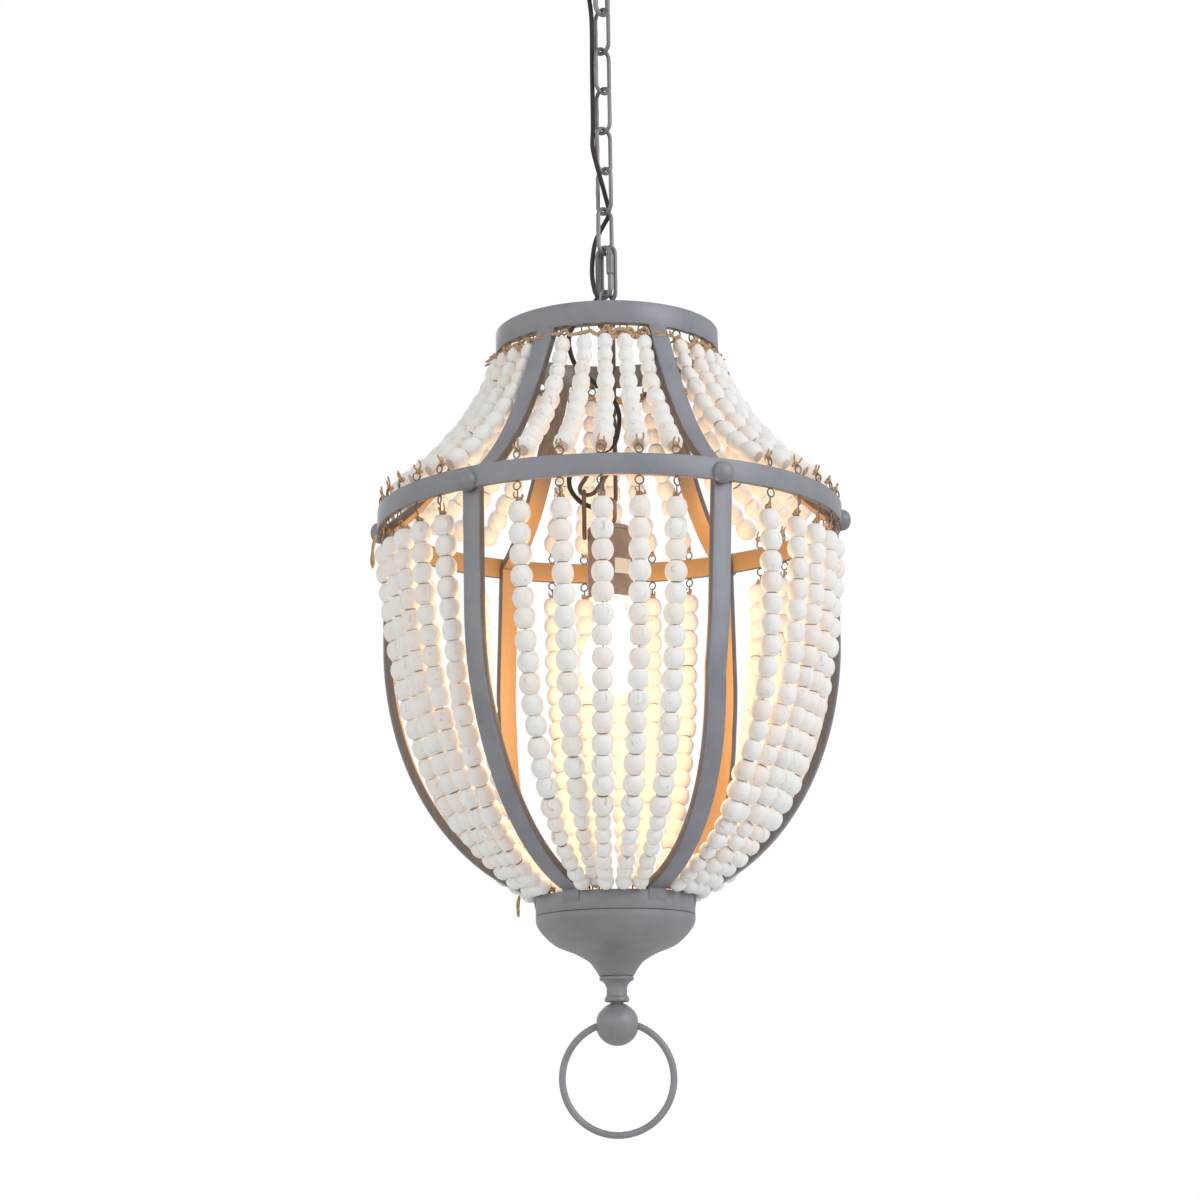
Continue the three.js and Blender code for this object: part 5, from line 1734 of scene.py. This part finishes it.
    def hoop_twine(self, bay: int) -> list[Patch]:
        """Twine wound through a bay's hoop eyes and over its first beads, several runs thick, with tails.

        Args:
            bay: bay between two ribs.

        Returns:
            The patches.
        """
        azimuths = [self.azimuths(bay, strand)[0] for strand in range(self.per_bay)]
        seat = self.hoop_seat
        patches = []
        for run in range(self.runs):
            marks = []
            for azimuth in azimuths[2:] if bay == 0 and run > 0 else azimuths:
                play = self.random.uniform(-self.run_play, self.run_play, 3)
                drops = np.array(self.run_drops) + [0, self.run_step * run, 0] + play
                outs = seat + self.random.uniform(0, self.run_depth, 3)
                marks += [
                    outward(azimuth + turn) * out + (HOOP_BOTTOM - drop) * UP
                    for turn, out, drop in zip(self.run_turns, outs, drops)
                ]
            patches.append(self.twine_run(np.array(marks), 90, loose=1.2, thin=1.2))
        for strand, aside, lean in self.tail_starts:
            azimuth = azimuths[strand] + aside
            tail = np.array([
                outward(azimuth) * (seat + 2) + (HOOP_BOTTOM - 8) * UP,
                outward(azimuth + lean / 2) * (seat + 5) + (HOOP_BOTTOM - 7 - 3 * self.random.random()) * UP,
                outward(azimuth + lean) * (seat + 7) + (HOOP_BOTTOM - 5 - 9 * self.random.random()) * UP,
            ])
            patches.append(self.twine_run(tail, 14, loose=0.9, thin=0.85))
        return patches

    def knots(self, azimuth: float, radius: float, height: float, rise: float) -> list[Patch]:
        """A turn of twine through an eye and its two loose ends.

        Args:
            azimuth: azimuth of the eye in degrees.
            radius: distance from the axis.
            height: height of the knot.
            rise: how far the loose ends reach, upwards where positive.

        Returns:
            The patches.
        """
        angle = np.linspace(0, self.knot_turns * FULL_TURN, 12)[:, None]
        side, out = sideways(azimuth), outward(azimuth)
        wide, deep, high = self.knot_size
        level = np.linspace(-high, high, 12)[:, None]
        centre = out * radius + height * UP
        turn = wide * np.cos(angle) * side + deep * np.sin(angle) * out + level * UP
        patches = [self.twine_run(centre + turn, 26, loose=0.2)]
        for lean in [self.random.uniform(*ends) for ends in self.knot_leans]:
            reach = rise * self.random.uniform(*self.knot_reaches)
            curl = self.random.uniform(*self.knot_curls)
            tail = np.array([
                centre,
                centre + side * lean * 0.8 + out * 2.2 + reach * 0.55 * UP,
                centre + side * lean * curl + out * (2.6 + self.random.random()) + reach * UP,
            ])
            patches.append(self.twine_run(tail, 12, loose=0.5, thin=0.6))
        return patches

    def loose_end(self, azimuth: float, radius: float, height: float, reach: float) -> list[Patch]:
        """A frayed bundle that hangs down: a few thin ends side by side.

        Args:
            azimuth: azimuth of the bundle in degrees.
            radius: distance from the axis.
            height: height where it starts.
            reach: how far it hangs.

        Returns:
            The patches.
        """
        patches = []
        side, out = sideways(azimuth), outward(azimuth)
        outs = np.array(self.bundle_outs)[:, None] * out
        for end in range(self.bundle):
            aside = (end - (self.bundle - 1) / 2) * self.bundle_step
            steps = np.array(self.bundle_shares)[:, None] * reach * self.random.uniform(0.8, 1.0)
            marks = out * radius + side * aside + height * UP - steps * UP + outs
            patches.append(self.twine_run(marks, 16, loose=0.7, thin=0.8))
        return patches

    def twine(self) -> bpy.types.Object:
        """All the jute twine: runs at the hoop, knots at band and rim, and frayed bundles at the left.

        Returns:
            The twine, in one piece.
        """
        patches = []
        under_band = BAND_BOTTOM - self.lower_lead
        for bay in range(RIB_COUNT):
            patches += self.hoop_twine(bay)
            for strand in range(self.per_bay):
                _, middle, rim = self.azimuths(bay, strand)
                patches += self.knots(middle, self.behind_band + 1, BAND_TOP + 9.5, 11.0)
                patches += self.knots(middle, self.behind_band, under_band + 1.5, 7.0)
                patches += self.knots(rim, self.rim_radius, COLLAR_TOP + 4.5, -3.0)
        for end in range(self.bundle):
            radii = np.array(self.left_radii) + [0, 0, 1.5 * end]
            heights = HOOP_BOTTOM - 5 + np.array(self.left_rises) - [0, end, 2 * end]
            marks = outward(np.array(self.left_azimuths)) * radii[:, None] + heights[:, None] * UP
            patches.append(self.twine_run(marks, 20, loose=0.9, thin=0.9))
        for bundle in self.loose_bundles:
            patches += self.loose_end(*bundle)
        return build_mesh("jute_lacing", patches)

    def build(self) -> None:
        """Makes and dresses the strands, the eyes and the twine."""
        for bay in range(RIB_COUNT):
            for strand in range(self.per_bay):
                piece = self.strand(bay, strand)
                dress(piece, BEAD_WOOD, Slot.BEADS, "lantern", f"bead_strand_{bay + 1}_{strand + 1}")
        dress(self.eyes(), EYE_WIRE, Slot.DARK_IRON, "lantern")
        dress(self.twine(), JUTE, Slot.BEADS, "lantern")


@dataclass
class Flex:
    """Lamp flex, cut half way between the joints of the swinging bodies."""

    radius: float = 2.3
    samples: int = 520
    reach: float = 9.0
    route: tuple = (
        (-14, -1, -30.6), (-13, -1, -55), (-10.5, -1, -80), (-10.5, -1, -140), (-10.5, -1, -200),
        (-11, -9.5, -225), (-7, -11.5, -245), (0, 0, -269), (4, 10, -288), (-2, 13, -300),
        (-9, 10, -315), (-12.5, 4, -335), (-13.5, 1, -355), (-11, -8, -375), (-9, -15, -385),
        (-27.5, -15, -407), (-36, -15, -420), (-37, -15, -434), (-30, -15, -455), (-10, -15, -474),
        (6, -15, -490), (11, -15, -505), (10, -15, -520), (5, -18, -536), (-9.5, -22, -546),
        (-28, -23, -553), (-37, -20, -563), (-38, -13, -577), (-29, -11, -590), (-16, -9, -597),
        (-11, -9, -603), (-11, -9, CAP_TOP + 6), (-11, -9, CAP_TOP + GAP),
    )
    bodies: tuple = (
        "ceiling", "link_1", "link_2", "link_3", "link_4", "link_5", "link_6",
        "quick_link", "lantern", "lamp",
    )
    joint_heights: tuple = (LOOP_BAR, *LINK_BARS, QUICK_BAR, LOWER_EYE_CENTRE - 5.0)

    def build(self) -> None:
        """Makes the flex as one line and cuts it half way between joints."""
        line = smooth_line(np.array(self.route, float), self.samples)
        heights = np.array(self.joint_heights)
        cuts = np.concatenate([[0.0], (heights[1:] + heights[:-1]) / 2, [line[-1, 2] - 1]])
        marks = np.searchsorted(-line[:, 2], -cuts)
        marks = np.clip(marks, 0, len(line) - 1)
        for number, joint in enumerate(self.joint_heights):
            first, last = int(marks[number]), int(marks[number + 1])
            path = line[first:last + 1]
            piece = build_mesh(f"flex_{number + 1}", [tube(path, self.radius, 12)])
            piece.data.materials.append(FLEX_COVER.material())
            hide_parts("flex")
            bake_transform(piece)


@dataclass
class Studio:
    """Camera, floor, lamps and backdrop."""

    distance: float = 2599.8
    camera_height: float = -1249.7
    focal_pixels: float = 2741.8
    frame_pixels: float = 1200.0
    sensor: float = 36.0
    pitch: float = 0.2133
    roll: float = -0.0147
    yaw: float = -0.0040
    floor_height: float = -1500.0
    floor_radius: float = 9000.0
    aim_height: float = -750.0
    soft_light: float = 0.55

    def camera(self) -> None:
        """Camera of the photograph: in front and below, looking up, with no shift."""
        made = bpy.data.cameras.new("camera")
        made.sensor_width = self.sensor
        made.lens = self.sensor * self.focal_pixels / self.frame_pixels
        made.clip_end = 60
        right = np.array([math.cos(self.yaw), -math.sin(self.yaw), 0])
        ahead = np.array([math.sin(self.yaw), math.cos(self.yaw), 0])
        look = math.cos(self.pitch) * ahead + math.sin(self.pitch) * UP
        above = -math.sin(self.pitch) * ahead + math.cos(self.pitch) * UP
        x_axis = math.cos(self.roll) * right + math.sin(self.roll) * above
        y_axis = -math.sin(self.roll) * right + math.cos(self.roll) * above
        turn = Matrix(np.stack([x_axis, y_axis, -look], 1).tolist()).to_4x4()
        camera = bpy.data.objects.new("camera", made)
        place = Vector((0, -self.distance, self.camera_height)) * MM
        camera.matrix_world = Matrix.Translation(place) @ turn
        bpy.context.scene.collection.objects.link(camera)
        bpy.context.scene.camera = camera

    def floor(self) -> None:
        """Pale floor, which the camera and the metal see as white."""
        angle = np.arange(64) / 64 * FULL_TURN
        rim = self.floor_radius * np.stack([np.cos(angle), np.sin(angle), 0 * angle], -1)
        mesh = bpy.data.meshes.new("floor")
        mesh.from_pydata(((rim + self.floor_height * UP) * MM).tolist(), [], [list(range(64))])
        floor = bpy.data.objects.new("floor", mesh)
        bpy.context.scene.collection.objects.link(floor)
        mesh.materials.append(PALE_FLOOR.material())

    def world(self) -> None:
        """White backdrop to the camera and in reflections, and a soft even light on the object."""
        world = bpy.data.worlds.new("studio")
        world.use_nodes = True
        tree = Tree(world.node_tree)
        rays = tree.node("ShaderNodeLightPath").outputs
        seen = tree.most(rays["Is Camera Ray"], tree.most(rays["Is Glossy Ray"], rays["Is Transmission Ray"]))
        strength = tree.plus(tree.times(seen, 1 - self.soft_light), self.soft_light)
        tree.feed(tree.nodes["Background"], {"Strength": strength, "Color": (1, 1, 1, 1)})
        bpy.context.scene.world = world

    def lamp(self, name: str, place: tuple[float, float, float], size: float, energy: float,
             tint: tuple[float, float, float] = (1, 1, 1)) -> None:
        """A soft square lamp that faces the middle of the object.

        Args:
            name: name of the lamp.
            place: its place in metres.
            size: its side in metres.
            energy: its power in watts.
            tint: colour of its light.
        """
        made = bpy.data.lights.new(name, "AREA")
        made.size = size
        made.energy = energy
        made.color = tint
        lamp = bpy.data.objects.new(name, made)
        lamp.location = place
        aim = Vector((0, 0, self.aim_height * MM)) - Vector(place)
        lamp.rotation_euler = aim.to_track_quat("-Z", "Y").to_euler()
        bpy.context.scene.collection.objects.link(lamp)

    def build(self) -> None:
        """Sets up the whole studio."""
        self.camera()
        self.floor()
        self.world()
        self.lamp("key", (2.7, -1.9, 0.7), size=1.8, energy=48)
        self.lamp("fill", (-2.4, -2.0, -0.2), size=2.2, energy=16.5, tint=(1, 0.95, 0.84))
        self.lamp("back", (-0.4, 2.6, 0.7), size=2.0, energy=22)
        bpy.context.scene.view_settings.view_transform = "Standard"


def main() -> None:
    """Builds the chandelier piece by piece."""
    logging.basicConfig(level=logging.INFO, format="%(name)s: %(message)s", stream=sys.stdout)
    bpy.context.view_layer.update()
    for assembly in (Studio, Flex, Ceiling, Chain, Cage, Cup, Lamp, Strands):
        assembly().build()
    bpy.context.view_layer.update()


if __name__ == "__main__":
    main()
